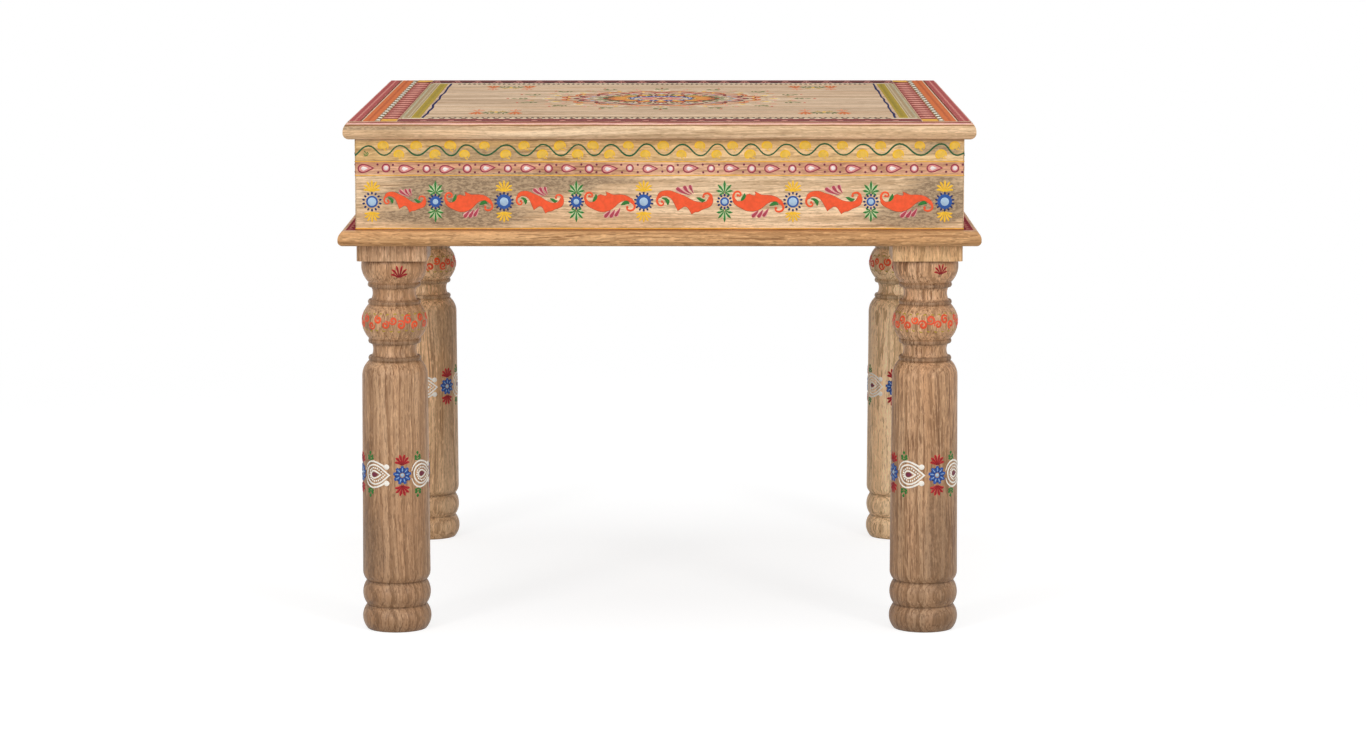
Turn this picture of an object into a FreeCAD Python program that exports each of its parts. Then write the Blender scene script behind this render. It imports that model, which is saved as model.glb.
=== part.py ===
# A bajot: a low square table with a boarded box on four turned legs. Lengths are in millimetres.
# The frame of the part: +X to the right, +Z up, the front faces -Y, and the origin is on the floor
# at the middle of the table's plan.
import FreeCAD, Part
import Sketcher
import os
import types

# The size of every piece that can be set by itself.
SIZES = {
    # Heights of the stack, from the floor up
    "leg_height": 361.0,
    "block_height": 16.0,
    "rail_thickness": 14.0,
    "apron_height": 87.0,
    "top_thickness": 17.0,
    # Plan sizes: the side of the top, what stands out past the box, and how far the legs' axes stand in
    "top_side": 600.0,
    "top_overhang": 10.5,
    "frame_overhang": 16.0,
    "leg_set_in": 34.0,
    "apron_thickness": 18.0,
    "apron_corner_ease": 1.5,
    "rail_width": 85.0,
    # Moulded edge of the top: how far the slope runs in, where the nose is and how far it turns under
    "top_edge_slope": 5.5,
    "top_nose_height": 7.5,
    "top_edge_under": 5.0,
    # Moulded edge of the lower frame
    "rail_edge_slope": 4.5,
    "rail_nose_height": 6.5,
    "rail_edge_under": 3.5,
    # Tenons that join the side rails to the long rails
    "tenon_thickness": 5.0,
    "tenon_length": 20.0,
    "tenon_shoulder": 12.0,
    "tenon_clearance": 0.2,
    # Square block between each leg and the frame
    "block_side": 67.0,
    "block_corner_radius": 4.0,
    # Glue blocks in the box's corners and glue cleats under the top
    "corner_block_side": 45.0,
    "corner_block_height": 20.0,
    "corner_block_chamfer": 16.0,
    "cleat_width": 20.0,
    "cleat_height": 20.0,
    "cleat_chamfer": 4.0,
    # Heights along the turned leg
    "foot_bead_height": 24.0,
    "upper_bead_height": 23.7,
    "foot_shoulder_height": 8.8,
    "column_shoulder_height": 15.0,
    "ring_height": 4.2,
    "neck_height": 12.6,
    "sphere_height": 33.4,
    "ball_height": 23.2,
    # Radii along the turned leg
    "foot_radius": 28.6,
    "foot_bead_radius": 33.2,
    "groove_radius": 28.9,
    "upper_bead_radius": 32.8,
    "column_foot_radius": 32.7,
    "column_top_radius": 31.6,
    "ring_radius": 25.4,
    "ring_edge_radius": 24.5,
    "neck_edge_radius": 22.4,
    "neck_radius": 20.7,
    "sphere_radius": 31.3,
    "ball_radius": 31.5,
    "leg_top_radius": 30.4,
    # Hanger bolt, washer and nut that draw each leg up to the box
    "bolt_diameter": 8.0,
    "bolt_length": 100.0,
    "bolt_depth": 40.0,
    "bolt_point": 4.0,
    "bolt_end_chamfer": 1.0,
    "bolt_clearance": 1.0,
    "thread_clearance": 0.2,
    "bore_runout": 2.0,
    "washer_diameter": 20.0,
    "washer_thickness": 1.6,
    "washer_clearance": 0.4,
    "nut_width": 13.0,
    "nut_height": 6.5,
    # How far a cut runs past the face that it opens
    "cut_overrun": 2.0,
}

# The top is glued up from this many planks, front to back.
PLANK_COUNT = 5

# Where an arc passes on its way, as shares of the height and width that it spans.
EDGE_SLOPE_OUT_SHARE = 0.68
EDGE_SLOPE_UP_SHARE = 0.62
EDGE_UNDER_OUT_SHARE = 0.72
EDGE_UNDER_UP_SHARE = 0.3
SHOULDER_UP_SHARE = 0.46
SHOULDER_OUT_SHARE = 0.74
BALL_WIDEST_SHARE = 0.7

# The four corners of the plan, anticlockwise from above: name, side along X and side along Y.
CORNERS = (
    ("front_left", -1, -1),
    ("front_right", 1, -1),
    ("back_right", 1, 1),
    ("back_left", -1, 1),
)

# The four sides of the plan and their turn from the front one. What runs along the front and the back
# runs from end to end, and its fellows at the sides fit between.
SIDES = (("front", 0), ("right", 90), ("back", 180), ("left", 270))
END_TO_END = ("front", "back")


class Length:
    """A length in millimetres together with the formula that ties it to the sheet."""

    def __init__(self, number, formula):
        self.number = number
        self.formula = formula

    def __add__(self, other):
        return Length(self.number + number_of(other), f"({self.formula} + {formula_of(other)})")

    def __sub__(self, other):
        return Length(self.number - number_of(other), f"({self.formula} - {formula_of(other)})")

    def __mul__(self, factor):
        return Length(self.number * factor, f"({self.formula} * {factor})")

    def __truediv__(self, divisor):
        return Length(self.number / divisor, f"({self.formula} / {divisor})")

    def __neg__(self):
        return Length(-self.number, f"(0 - {self.formula})")


def number_of(length):
    return length.number if isinstance(length, Length) else length


def formula_of(length):
    return length.formula if isinstance(length, Length) else str(length)


def make_sheet(document):
    """Writes the sizes to the sheet and gives them back as named lengths."""
    sheet = document.addObject("Spreadsheet::Sheet", "sizes")
    for row, (alias, number) in enumerate(SIZES.items(), start=1):
        cell = f"B{row}"
        sheet.set(cell, str(number))
        sheet.setAlias(cell, alias)
    document.recompute()
    lengths = {alias: Length(number, f"sizes.{alias}") for alias, number in SIZES.items()}
    return types.SimpleNamespace(**lengths)


def bind(thing, path, length):
    """Ties one property to its formula."""
    thing.setExpression(path, formula_of(length))


def put(thing, x, y, z, turn=0):
    """Places a piece in the table, turned about the vertical."""
    thing.Placement = FreeCAD.Placement(
        FreeCAD.Vector(number_of(x), number_of(y), number_of(z)),
        FreeCAD.Rotation(FreeCAD.Vector(0, 0, 1), turn),
    )
    for axis, length in zip("xyz", (x, y, z)):
        if isinstance(length, Length):
            bind(thing, f".Placement.Base.{axis}", length)


def origin_feature(body, role):
    for feature in body.Origin.OriginFeatures:
        if feature.Role == role:
            return feature


def new_body(document, label):
    body = document.addObject("PartDesign::Body", label)
    body.Label = label
    return body


def new_sketch(body, name, role="XY_Plane", lift=0, aside=0):
    """A sketch on one of the body's own planes, lifted along the plane's normal and moved along its X."""
    sketch = body.newObject("Sketcher::SketchObject", f"{body.Name}_{name}")
    sketch.AttachmentSupport = [(origin_feature(body, role), "")]
    sketch.MapMode = "FlatFace"
    for axis, length in (("x", aside), ("z", lift)):
        if isinstance(length, Length):
            bind(sketch, f".AttachmentOffset.Base.{axis}", length)
    return sketch


def vector(point):
    return FreeCAD.Vector(number_of(point[0]), number_of(point[1]), 0)


def pin_point(sketch, geometry, end, point):
    """Holds one point of a sketch at the two lengths of its place."""
    for kind, length in zip(("DistanceX", "DistanceY"), point):
        index = sketch.addConstraint(Sketcher.Constraint(kind, geometry, end, float(number_of(length))))
        if isinstance(length, Length):
            bind(sketch, f"Constraints[{index}]", length)


def ends_in_order(sketch, geometry, start):
    """The two end numbers of an edge, the one that lies at the start first."""
    near_first = sketch.getPoint(geometry, 1).distanceToPoint(start)
    near_second = sketch.getPoint(geometry, 2).distanceToPoint(start)
    return (1, 2) if near_first < near_second else (2, 1)


def draw_outline(sketch, start, *steps):
    """Draws a closed outline. Each step is (end,) for a line or (middle, end) for an arc, and the last
    step ends where the outline starts."""
    here = start
    edges = []
    for step in steps:
        end = step[-1]
        if len(step) == 2:
            edge = Part.Arc(vector(here), vector(step[0]), vector(end))
        else:
            edge = Part.LineSegment(vector(here), vector(end))
        geometry = sketch.addGeometry(edge)
        edges.append((geometry, ends_in_order(sketch, geometry, vector(here))))
        pin_point(sketch, geometry, edges[-1][1][0], here)
        if len(step) == 2:
            marker = sketch.addGeometry(Part.Point(vector(step[0])), True)
            pin_point(sketch, marker, 1, step[0])
            sketch.addConstraint(Sketcher.Constraint("PointOnObject", marker, 1, geometry))
        here = end
    for (geometry, ends), (after, after_ends) in zip(edges, edges[1:] + edges[:1]):
        sketch.addConstraint(Sketcher.Constraint("Coincident", geometry, ends[1], after, after_ends[0]))


def draw_rectangle(sketch, left, right, low, high):
    draw_outline(
        sketch,
        (left, low),
        ((right, low),),
        ((right, high),),
        ((left, high),),
        ((left, low),),
    )


def draw_circle(sketch, x, y, diameter):
    circle = Part.Circle(vector((x, y)), FreeCAD.Vector(0, 0, 1), number_of(diameter) / 2)
    geometry = sketch.addGeometry(circle)
    pin_point(sketch, geometry, 3, (x, y))
    index = sketch.addConstraint(Sketcher.Constraint("Diameter", geometry, number_of(diameter)))
    bind(sketch, f"Constraints[{index}]", diameter)


def draw_hexagon(sketch, width):
    """A hexagon of the given width across its flats, round the sketch's origin."""
    flat = width / 2
    corner = width / 3**0.5
    draw_outline(
        sketch,
        (corner, 0),
        ((corner / 2, flat),),
        ((-(corner / 2), flat),),
        ((-corner, 0),),
        ((-(corner / 2), -flat),),
        ((corner / 2, -flat),),
        ((corner, 0),),
    )


def pad(body, sketch, length):
    feature = body.newObject("PartDesign::Pad", f"{sketch.Name}_pad")
    feature.Profile = sketch
    bind(feature, "Length", length)
    return feature


def pocket(body, sketch, length):
    """Cuts downwards from a level sketch, or inwards from a standing one."""
    feature = body.newObject("PartDesign::Pocket", f"{sketch.Name}_pocket")
    feature.Profile = sketch
    bind(feature, "Length", length)
    return feature


def pocket_through(body, sketch):
    """Cuts both ways from the sketch, right through the body."""
    feature = body.newObject("PartDesign::Pocket", f"{sketch.Name}_pocket")
    feature.Profile = sketch
    feature.Type = "ThroughAll"
    feature.SideType = "Symmetric"
    return feature


def revolve(body, sketch):
    feature = body.newObject("PartDesign::Revolution", f"{sketch.Name}_turned")
    feature.Profile = sketch
    feature.ReferenceAxis = (sketch, ["V_Axis"])
    feature.Angle = 360
    return feature


def repeat_at_corners(body, feature):
    """Repeats a feature at the four corners of the plan."""
    pattern = body.newObject("PartDesign::PolarPattern", f"{body.Name}_corners")
    pattern.Originals = [feature]
    pattern.Axis = (origin_feature(body, "Z_Axis"), [""])
    pattern.Angle = 360
    pattern.Occurrences = len(CORNERS)
    body.Tip = pattern
    return pattern


def edge_section(sizes, half, thickness, slope, nose, under, side):
    """The waste that a moulding cutter takes off an edge: a long slope above the nose, a tight turn below."""
    out = half + sizes.cut_overrun
    above = thickness + sizes.cut_overrun
    below = -sizes.cut_overrun
    points = [
        (half - slope, thickness),
        (half - slope * (1 - EDGE_SLOPE_OUT_SHARE), nose + (thickness - nose) * EDGE_SLOPE_UP_SHARE),
        (half, nose),
        (half - under * (1 - EDGE_UNDER_OUT_SHARE), nose * EDGE_UNDER_UP_SHARE),
        (half - under, 0),
        (half - under, below),
        (out, below),
        (out, above),
        (half - slope, above),
    ]
    return [(x * side, z) for x, z in points]


def mould_edge(body, name, role, section):
    """Cuts a moulded edge along the whole body, the section standing on one of the body's planes."""
    sketch = new_sketch(body, name, role)
    start, slope, nose, turn, under, *corners = section
    lines = [(corner,) for corner in corners]
    draw_outline(sketch, start, (slope, nose), (turn, under), *lines, (start,))
    return pocket_through(body, sketch)


def stack_levels(sizes):
    """The heights at which the pieces rest on one another."""
    block = sizes.leg_height
    rail = block + sizes.block_height
    apron = rail + sizes.rail_thickness
    top = apron + sizes.apron_height
    return types.SimpleNamespace(block=block, rail=rail, apron=apron, top=top)


def plan_reaches(sizes):
    """How far the pieces reach from the middle of the plan, along X and along Y."""
    top = sizes.top_side / 2
    box = top - sizes.top_overhang
    frame = box + sizes.frame_overhang
    return types.SimpleNamespace(
        top=top,
        box=box,
        wall=box - sizes.apron_thickness,
        frame=frame,
        opening=frame - sizes.rail_width,
        leg=box - sizes.leg_set_in,
    )


def make_planks(document, sizes, levels, reach):
    """The top: planks with the grain along X, glued edge to edge, then moulded all round."""
    width = sizes.top_side / PLANK_COUNT
    edge = (sizes.top_thickness, sizes.top_edge_slope, sizes.top_nose_height, sizes.top_edge_under)
    planks = []
    for number in range(PLANK_COUNT):
        body = new_body(document, f"top_plank_{number + 1}")
        sketch = new_sketch(body, "plan")
        draw_rectangle(sketch, -reach.top, reach.top, -(width / 2), width / 2)
        pad(body, sketch, sizes.top_thickness)
        for name, side in (("left_end", -1), ("right_end", 1)):
            mould_edge(body, name, "XZ_Plane", edge_section(sizes, reach.top, *edge, side))
        if number == 0:
            mould_edge(body, "front_edge", "YZ_Plane", edge_section(sizes, width / 2, *edge, -1))
        if number == PLANK_COUNT - 1:
            mould_edge(body, "back_edge", "YZ_Plane", edge_section(sizes, width / 2, *edge, 1))
        put(body, 0, width * (number - (PLANK_COUNT - 1) / 2), levels.top)
        planks.append(body)
    return planks


def make_aprons(document, sizes, levels, reach):
    """The four boards of the box, mitred at the corners, with the sharp outer corners eased."""
    face = reach.box
    wall = reach.wall
    ease = sizes.apron_corner_ease
    aprons = []
    for name, turn in SIDES:
        body = new_body(document, f"apron_{name}")
        sketch = new_sketch(body, "plan")
        draw_outline(
            sketch,
            (-(face - ease), -face),
            ((face - ease, -face),),
            ((face - ease / 2, -(face - ease / 2)),),
            ((wall, -wall),),
            ((-wall, -wall),),
            ((-(face - ease / 2), -(face - ease / 2)),),
            ((-(face - ease), -face),),
        )
        pad(body, sketch, sizes.apron_height)
        put(body, 0, 0, levels.apron, turn)
        aprons.append(body)
    return aprons


def rail_edge_sizes(sizes):
    return (sizes.rail_thickness, sizes.rail_edge_slope, sizes.rail_nose_height, sizes.rail_edge_under)


def tenon_place(sizes, reach):
    """Where the side rails' tenons lie: their two edges from the middle of the plan, and two levels."""
    bottom = (sizes.rail_thickness - sizes.tenon_thickness) / 2
    return types.SimpleNamespace(
        near=reach.opening + sizes.tenon_shoulder,
        far=reach.frame - sizes.tenon_shoulder,
        bottom=bottom,
        top=bottom + sizes.tenon_thickness,
    )


def make_long_rail(document, sizes, reach, name):
    """A front or back rail of the lower frame, drawn as the front one: moulded on three edges, mortised
    for the side rails and bored for two legs."""
    edge = rail_edge_sizes(sizes)
    tenon = tenon_place(sizes, reach)
    spare = sizes.tenon_clearance
    body = new_body(document, f"frame_rail_{name}")
    plan = new_sketch(body, "plan")
    draw_rectangle(plan, -reach.frame, reach.frame, -reach.frame, -reach.opening)
    pad(body, plan, sizes.rail_thickness)
    for end, side in (("left_end", -1), ("right_end", 1)):
        mould_edge(body, end, "XZ_Plane", edge_section(sizes, reach.frame, *edge, side))
    mould_edge(body, "outer_edge", "YZ_Plane", edge_section(sizes, reach.frame, *edge, -1))
    mortises = new_sketch(body, "mortises", lift=tenon.top + spare)
    deep = -(reach.opening + sizes.tenon_length + spare)
    mouth = -(reach.opening - sizes.cut_overrun)
    draw_rectangle(mortises, -(tenon.far + spare), -(tenon.near - spare), deep, mouth)
    draw_rectangle(mortises, tenon.near - spare, tenon.far + spare, deep, mouth)
    pocket(body, mortises, sizes.tenon_thickness + spare * 2)
    bores = new_sketch(body, "bores", lift=sizes.rail_thickness)
    for side in (-1, 1):
        draw_circle(bores, reach.leg * side, -reach.leg, sizes.bolt_diameter + sizes.bolt_clearance)
    pocket_through(body, bores)
    return body


def make_side_rail(document, sizes, reach, name):
    """A left or right rail of the lower frame, drawn as if it ran along the front: it fits between the
    long rails, with a tenon at each end."""
    tenon = tenon_place(sizes, reach)
    body = new_body(document, f"frame_rail_{name}")
    plan = new_sketch(body, "plan")
    draw_rectangle(plan, -reach.opening, reach.opening, -reach.frame, -reach.opening)
    pad(body, plan, sizes.rail_thickness)
    section = edge_section(sizes, reach.frame, *rail_edge_sizes(sizes), -1)
    mould_edge(body, "outer_edge", "YZ_Plane", section)
    tenons = new_sketch(body, "tenons", lift=tenon.bottom)
    tip = reach.opening + sizes.tenon_length
    draw_rectangle(tenons, -tip, tip, -tenon.far, -tenon.near)
    pad(body, tenons, sizes.tenon_thickness)
    return body


def make_rails(document, sizes, levels, reach):
    rails = []
    for name, turn in SIDES:
        make_rail = make_long_rail if name in END_TO_END else make_side_rail
        rail = make_rail(document, sizes, reach, name)
        put(rail, 0, 0, levels.rail, turn)
        rails.append(rail)
    return rails


def make_leg_blocks(document, sizes, levels, reach):
    """The square blocks that space the turned legs from the frame, with eased upright corners."""
    half = sizes.block_side / 2
    blocks = []
    for name, side_x, side_y in CORNERS:
        body = new_body(document, f"leg_block_{name}")
        sketch = new_sketch(body, "plan")
        draw_rectangle(sketch, -half, half, -half, half)
        slab = pad(body, sketch, sizes.block_height)
        document.recompute()
        ease_upright_edges(body, slab, sizes.block_corner_radius)
        bore = new_sketch(body, "bore", lift=sizes.block_height)
        draw_circle(bore, 0, 0, sizes.bolt_diameter + sizes.bolt_clearance)
        pocket_through(body, bore)
        put(body, reach.leg * side_x, reach.leg * side_y, levels.block)
        blocks.append(body)
    return blocks


def upright_edges(shape):
    """The names of a shape's upright edges."""
    names = []
    for number, edge in enumerate(shape.Edges, start=1):
        box = edge.BoundBox
        if box.ZLength > box.XLength + box.YLength:
            names.append(f"Edge{number}")
    return names


def ease_upright_edges(body, base, radius):
    fillet = body.newObject("PartDesign::Fillet", f"{body.Name}_corners")
    fillet.Base = (base, upright_edges(base.Shape))
    bind(fillet, "Radius", radius)
    return fillet


def leg_outline(sizes):
    """The turned leg's half section, from the middle of the foot up: (radius, height) points and arcs."""
    foot = sizes.foot_bead_height
    column = foot + sizes.upper_bead_height
    shoulder = column + sizes.foot_shoulder_height
    ball = sizes.leg_height - sizes.ball_height
    upper_ring = ball - sizes.ring_height
    upper_neck = upper_ring - sizes.neck_height
    sphere_ring = upper_neck - sizes.ring_height
    sphere = sphere_ring - sizes.sphere_height
    lower_ring = sphere - sizes.ring_height
    lower_neck = lower_ring - sizes.neck_height
    column_ring = lower_neck - sizes.ring_height
    column_top = column_ring - sizes.column_shoulder_height

    def shoulder_middle(narrow, wide, narrow_height, wide_height):
        return (
            narrow + (wide - narrow) * SHOULDER_OUT_SHARE,
            narrow_height + (wide_height - narrow_height) * SHOULDER_UP_SHARE,
        )

    def ring(low, high):
        return ((sizes.ring_radius, (low + high) / 2), (sizes.ring_edge_radius, high))

    def neck(low, high):
        return (
            ((sizes.neck_edge_radius, low),),
            ((sizes.neck_radius, (low + high) / 2), (sizes.neck_edge_radius, high)),
            ((sizes.ring_edge_radius, high),),
        )

    start = (0, 0)
    steps = [
        ((sizes.foot_radius, 0),),
        ((sizes.foot_bead_radius, foot / 2), (sizes.groove_radius, foot)),
        ((sizes.upper_bead_radius, (foot + column) / 2), (sizes.groove_radius, column)),
        (
            shoulder_middle(sizes.groove_radius, sizes.column_foot_radius, column, shoulder),
            (sizes.column_foot_radius, shoulder),
        ),
        ((sizes.column_top_radius, column_top),),
        (
            shoulder_middle(sizes.ring_edge_radius, sizes.column_top_radius, column_ring, column_top),
            (sizes.ring_edge_radius, column_ring),
        ),
        ring(column_ring, lower_neck),
        *neck(lower_neck, lower_ring),
        ring(lower_ring, sphere),
        ((sizes.sphere_radius, (sphere + sphere_ring) / 2), (sizes.ring_edge_radius, sphere_ring)),
        ring(sphere_ring, upper_neck),
        *neck(upper_neck, upper_ring),
        ring(upper_ring, ball),
        (
            (sizes.ball_radius, ball + sizes.ball_height * BALL_WIDEST_SHARE),
            (sizes.leg_top_radius, sizes.leg_height),
        ),
        ((0, sizes.leg_height),),
        (start,),
    ]
    return start, steps


def make_legs(document, sizes, reach):
    """The four turned legs, each bored from the top for its hanger bolt."""
    start, steps = leg_outline(sizes)
    legs = []
    for name, side_x, side_y in CORNERS:
        body = new_body(document, f"leg_{name}")
        sketch = new_sketch(body, "half_section", "XZ_Plane")
        draw_outline(sketch, start, *steps)
        revolve(body, sketch)
        bore = new_sketch(body, "bore", lift=sizes.leg_height)
        draw_circle(bore, 0, 0, sizes.bolt_diameter + sizes.thread_clearance)
        pocket(body, bore, sizes.bolt_depth + sizes.bore_runout)
        put(body, reach.leg * side_x, reach.leg * side_y, 0)
        legs.append(body)
    return legs


def make_corner_blocks(document, sizes, levels, reach):
    """The glue blocks in the box's corners, on which the nuts of the legs' bolts bear."""
    wall = reach.wall
    near = wall - sizes.corner_block_side
    cut = near + sizes.corner_block_chamfer
    blocks = []
    for number, (name, _, _) in enumerate(CORNERS):
        body = new_body(document, f"corner_block_{name}")
        sketch = new_sketch(body, "plan")
        draw_outline(
            sketch,
            (-wall, -wall),
            ((-near, -wall),),
            ((-near, -cut),),
            ((-cut, -near),),
            ((-wall, -near),),
            ((-wall, -wall),),
        )
        pad(body, sketch, sizes.corner_block_height)
        bore = new_sketch(body, "bore", lift=sizes.corner_block_height)
        draw_circle(bore, -reach.leg, -reach.leg, sizes.bolt_diameter + sizes.bolt_clearance)
        pocket_through(body, bore)
        put(body, 0, 0, levels.apron, 90 * number)
        blocks.append(body)
    return blocks


def make_cleats(document, sizes, levels, reach):
    """The glue cleats that hold the top to the box, with their free lower edges chamfered."""
    wall = reach.wall
    inner = wall - sizes.cleat_width
    cut = sizes.cleat_chamfer
    cleats = []
    for name, turn in SIDES:
        half_length = wall if name in END_TO_END else inner
        body = new_body(document, f"cleat_{name}")
        sketch = new_sketch(body, "section", "YZ_Plane")
        draw_outline(
            sketch,
            (-wall, -sizes.cleat_height),
            ((-(inner + cut), -sizes.cleat_height),),
            ((-inner, -(sizes.cleat_height - cut)),),
            ((-inner, 0),),
            ((-wall, 0),),
            ((-wall, -sizes.cleat_height),),
        )
        bar = pad(body, sketch, half_length * 2)
        bar.SideType = "Symmetric"
        put(body, 0, 0, levels.top, turn)
        cleats.append(body)
    return cleats


def new_fastener_group(document, name, lift):
    """A body that holds the same fastener at all four corners."""
    body = new_body(document, name)
    body.AllowCompound = True
    put(body, 0, 0, lift)
    return body


def make_hanger_bolts(document, sizes, reach):
    """One bolt up through each leg, block, rail and corner block: pointed below, chamfered above."""
    body = new_fastener_group(document, "hanger_bolts", sizes.leg_height - sizes.bolt_depth)
    sketch = new_sketch(body, "half_section", "XZ_Plane", lift=-reach.leg, aside=reach.leg)
    radius = sizes.bolt_diameter / 2
    chamfer = sizes.bolt_end_chamfer
    draw_outline(
        sketch,
        (0, 0),
        ((radius, sizes.bolt_point),),
        ((radius, sizes.bolt_length - chamfer),),
        ((radius - chamfer, sizes.bolt_length),),
        ((0, sizes.bolt_length),),
        ((0, 0),),
    )
    repeat_at_corners(body, revolve(body, sketch))
    return body


def make_washers(document, sizes, levels, reach):
    body = new_fastener_group(document, "washers", levels.apron + sizes.corner_block_height)
    sketch = new_sketch(body, "half_section", "XZ_Plane", lift=-reach.leg, aside=reach.leg)
    bore = (sizes.bolt_diameter + sizes.washer_clearance) / 2
    draw_rectangle(sketch, bore, sizes.washer_diameter / 2, 0, sizes.washer_thickness)
    repeat_at_corners(body, revolve(body, sketch))
    return body


def make_nuts(document, sizes, levels, reach):
    lift = levels.apron + sizes.corner_block_height + sizes.washer_thickness
    body = new_fastener_group(document, "nuts", lift)
    sketch = new_sketch(body, "plan", aside=reach.leg)
    bind(sketch, ".AttachmentOffset.Base.y", reach.leg)
    draw_hexagon(sketch, sizes.nut_width)
    draw_circle(sketch, 0, 0, sizes.bolt_diameter + sizes.thread_clearance)
    repeat_at_corners(body, pad(body, sketch, sizes.nut_height))
    return body


def check_document(document):
    """Stops if any object failed to build."""
    for thing in document.Objects:
        failed = {"Invalid", "Error"} & set(thing.State)
        if failed:
            raise RuntimeError(f"{thing.Name} is {sorted(failed)}")


def write_pieces(pieces):
    for piece in pieces:
        shape = piece.Shape
        if shape.isNull() or not shape.isValid() or not shape.Solids:
            raise RuntimeError(f"{piece.Label} has no valid solid")
    os.makedirs("parts", exist_ok=True)
    for piece in pieces:
        piece.Shape.exportStep(f"parts/{piece.Label}.step")


def main():
    document = FreeCAD.newDocument("bajot_table")
    sizes = make_sheet(document)
    levels = stack_levels(sizes)
    reach = plan_reaches(sizes)
    pieces = [
        *make_planks(document, sizes, levels, reach),
        *make_aprons(document, sizes, levels, reach),
        *make_rails(document, sizes, levels, reach),
        *make_leg_blocks(document, sizes, levels, reach),
        *make_legs(document, sizes, reach),
        *make_corner_blocks(document, sizes, levels, reach),
        *make_cleats(document, sizes, levels, reach),
        make_hanger_bolts(document, sizes, reach),
        make_washers(document, sizes, levels, reach),
        make_nuts(document, sizes, levels, reach),
    ]
    document.recompute()
    check_document(document)
    write_pieces(pieces)
    for piece in pieces:
        print(f"{piece.Label}: {len(piece.Shape.Solids)} solid, {piece.Shape.Volume:.0f} mm3")


main()
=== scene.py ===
"""Bajot low table: wood finishes, raised folk painting, fixings and a plain studio."""

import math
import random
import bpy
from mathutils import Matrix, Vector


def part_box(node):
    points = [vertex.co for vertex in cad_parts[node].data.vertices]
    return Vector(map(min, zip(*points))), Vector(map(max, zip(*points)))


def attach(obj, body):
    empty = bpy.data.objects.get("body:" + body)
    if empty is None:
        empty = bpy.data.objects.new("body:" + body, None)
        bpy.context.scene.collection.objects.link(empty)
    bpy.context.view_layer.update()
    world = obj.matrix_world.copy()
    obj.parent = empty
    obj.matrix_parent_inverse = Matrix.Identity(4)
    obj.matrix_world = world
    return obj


bl_info = {
    "name": "Bajot Low Table",
    "version": (1, 0, 0),
    "blender": (4, 5, 0),
    "location": "View3D > Sidebar > Bajot",
    "description": "Finishes a low square table with turned legs and raised painted ornament",
    "category": "Object",
}

from functools import cached_property

import bpy
import numpy as np
from bpy.props import FloatProperty, FloatVectorProperty, PointerProperty
from mathutils import Vector

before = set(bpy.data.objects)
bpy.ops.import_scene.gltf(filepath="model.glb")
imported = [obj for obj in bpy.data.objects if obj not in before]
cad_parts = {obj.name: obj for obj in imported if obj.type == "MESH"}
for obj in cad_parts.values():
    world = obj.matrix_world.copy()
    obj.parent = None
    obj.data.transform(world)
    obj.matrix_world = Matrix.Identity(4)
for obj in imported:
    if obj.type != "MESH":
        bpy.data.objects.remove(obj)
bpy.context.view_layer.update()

MM = 0.001
LEGS = ("front_left", "front_right", "back_right", "back_left")
SIDES = ("front", "right", "back", "left")

PHOTO_WIDTH = 1367
LENS_PIXELS = 4154.1
CAMERA_PLACE = (0.02274, -4.22531, 0.79364)
CAMERA_DROP = 7.837


# Measures taken from the frame, in millimetres

def high(node, axis):
    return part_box(node)[1][axis] / MM


def low(node, axis):
    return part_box(node)[0][axis] / MM


TOP_FACE = high("top_plank_1", 2)
APRON_BOTTOM = low("apron_front", 2)
APRON_FACE = high("apron_right", 0)
FRAME_BOTTOM = low("frame_rail_front", 2)
LEG_TOP = high("leg_front_left", 2)
LEG_RADIUS = 32.0


def linear(red, green, blue):
    """A colour as the eye names it, 0 to 255, as light."""
    def one(value):
        value /= 255
        return value / 12.92 if value <= 0.04045 else ((value + 0.055) / 1.055) ** 2.4
    return (one(red), one(green), one(blue))


def colour_of(name, red, green, blue):
    return FloatVectorProperty(
        name=name, description=f"Colour of the {name.lower()}", subtype="COLOR", size=3,
        min=0.0, max=1.0, default=linear(red, green, blue))


def length_of(name, description, millimetres):
    return FloatProperty(
        name=name, description=description, unit="LENGTH", subtype="DISTANCE",
        default=millimetres * MM, min=0.0, precision=5)


def power_of(name, place, watts):
    return FloatProperty(name=name, description=f"Power of {place}", unit="POWER", default=watts)


class BajotPaints(bpy.types.PropertyGroup):
    """Colours of the painter's pots"""
    orange: colour_of("Scroll orange", 240, 88, 44)
    rust: colour_of("Scroll outline", 176, 70, 36)
    crimson: colour_of("Crimson", 148, 40, 66)
    plum: colour_of("Plum", 112, 40, 62)
    rose: colour_of("Rose", 222, 146, 136)
    red: colour_of("Palmette red", 190, 38, 38)
    maroon: colour_of("Maroon", 128, 22, 30)
    yellow: colour_of("Yellow", 242, 190, 48)
    straw: colour_of("Straw", 234, 188, 76)
    amber: colour_of("Amber line", 236, 176, 70)
    umber: colour_of("Umber line", 140, 84, 44)
    leaf: colour_of("Leaf green", 40, 116, 44)
    stem: colour_of("Wave green", 34, 88, 48)
    mint: colour_of("Pale green", 192, 206, 156)
    berry: colour_of("Berry", 174, 64, 78)
    blush: colour_of("Blush", 226, 164, 160)
    olive: colour_of("Olive", 178, 150, 48)
    navy: colour_of("Navy", 32, 42, 92)
    ink: colour_of("Ink", 56, 48, 52)
    oat: colour_of("Oat", 226, 214, 188)
    sand: colour_of("Sand", 172, 146, 112)
    salmon: colour_of("Salmon", 228, 150, 120)
    moss: colour_of("Moss", 74, 100, 52)
    blue: colour_of("Blue", 40, 84, 156)
    sky: colour_of("Pale blue", 168, 194, 216)
    pearl: colour_of("Pearl", 238, 224, 218)
    chalk: colour_of("Chalk white", 250, 244, 232)
    coral: colour_of("Coral", 228, 84, 48)
    brick: colour_of("Brick orange", 216, 106, 56)


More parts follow.
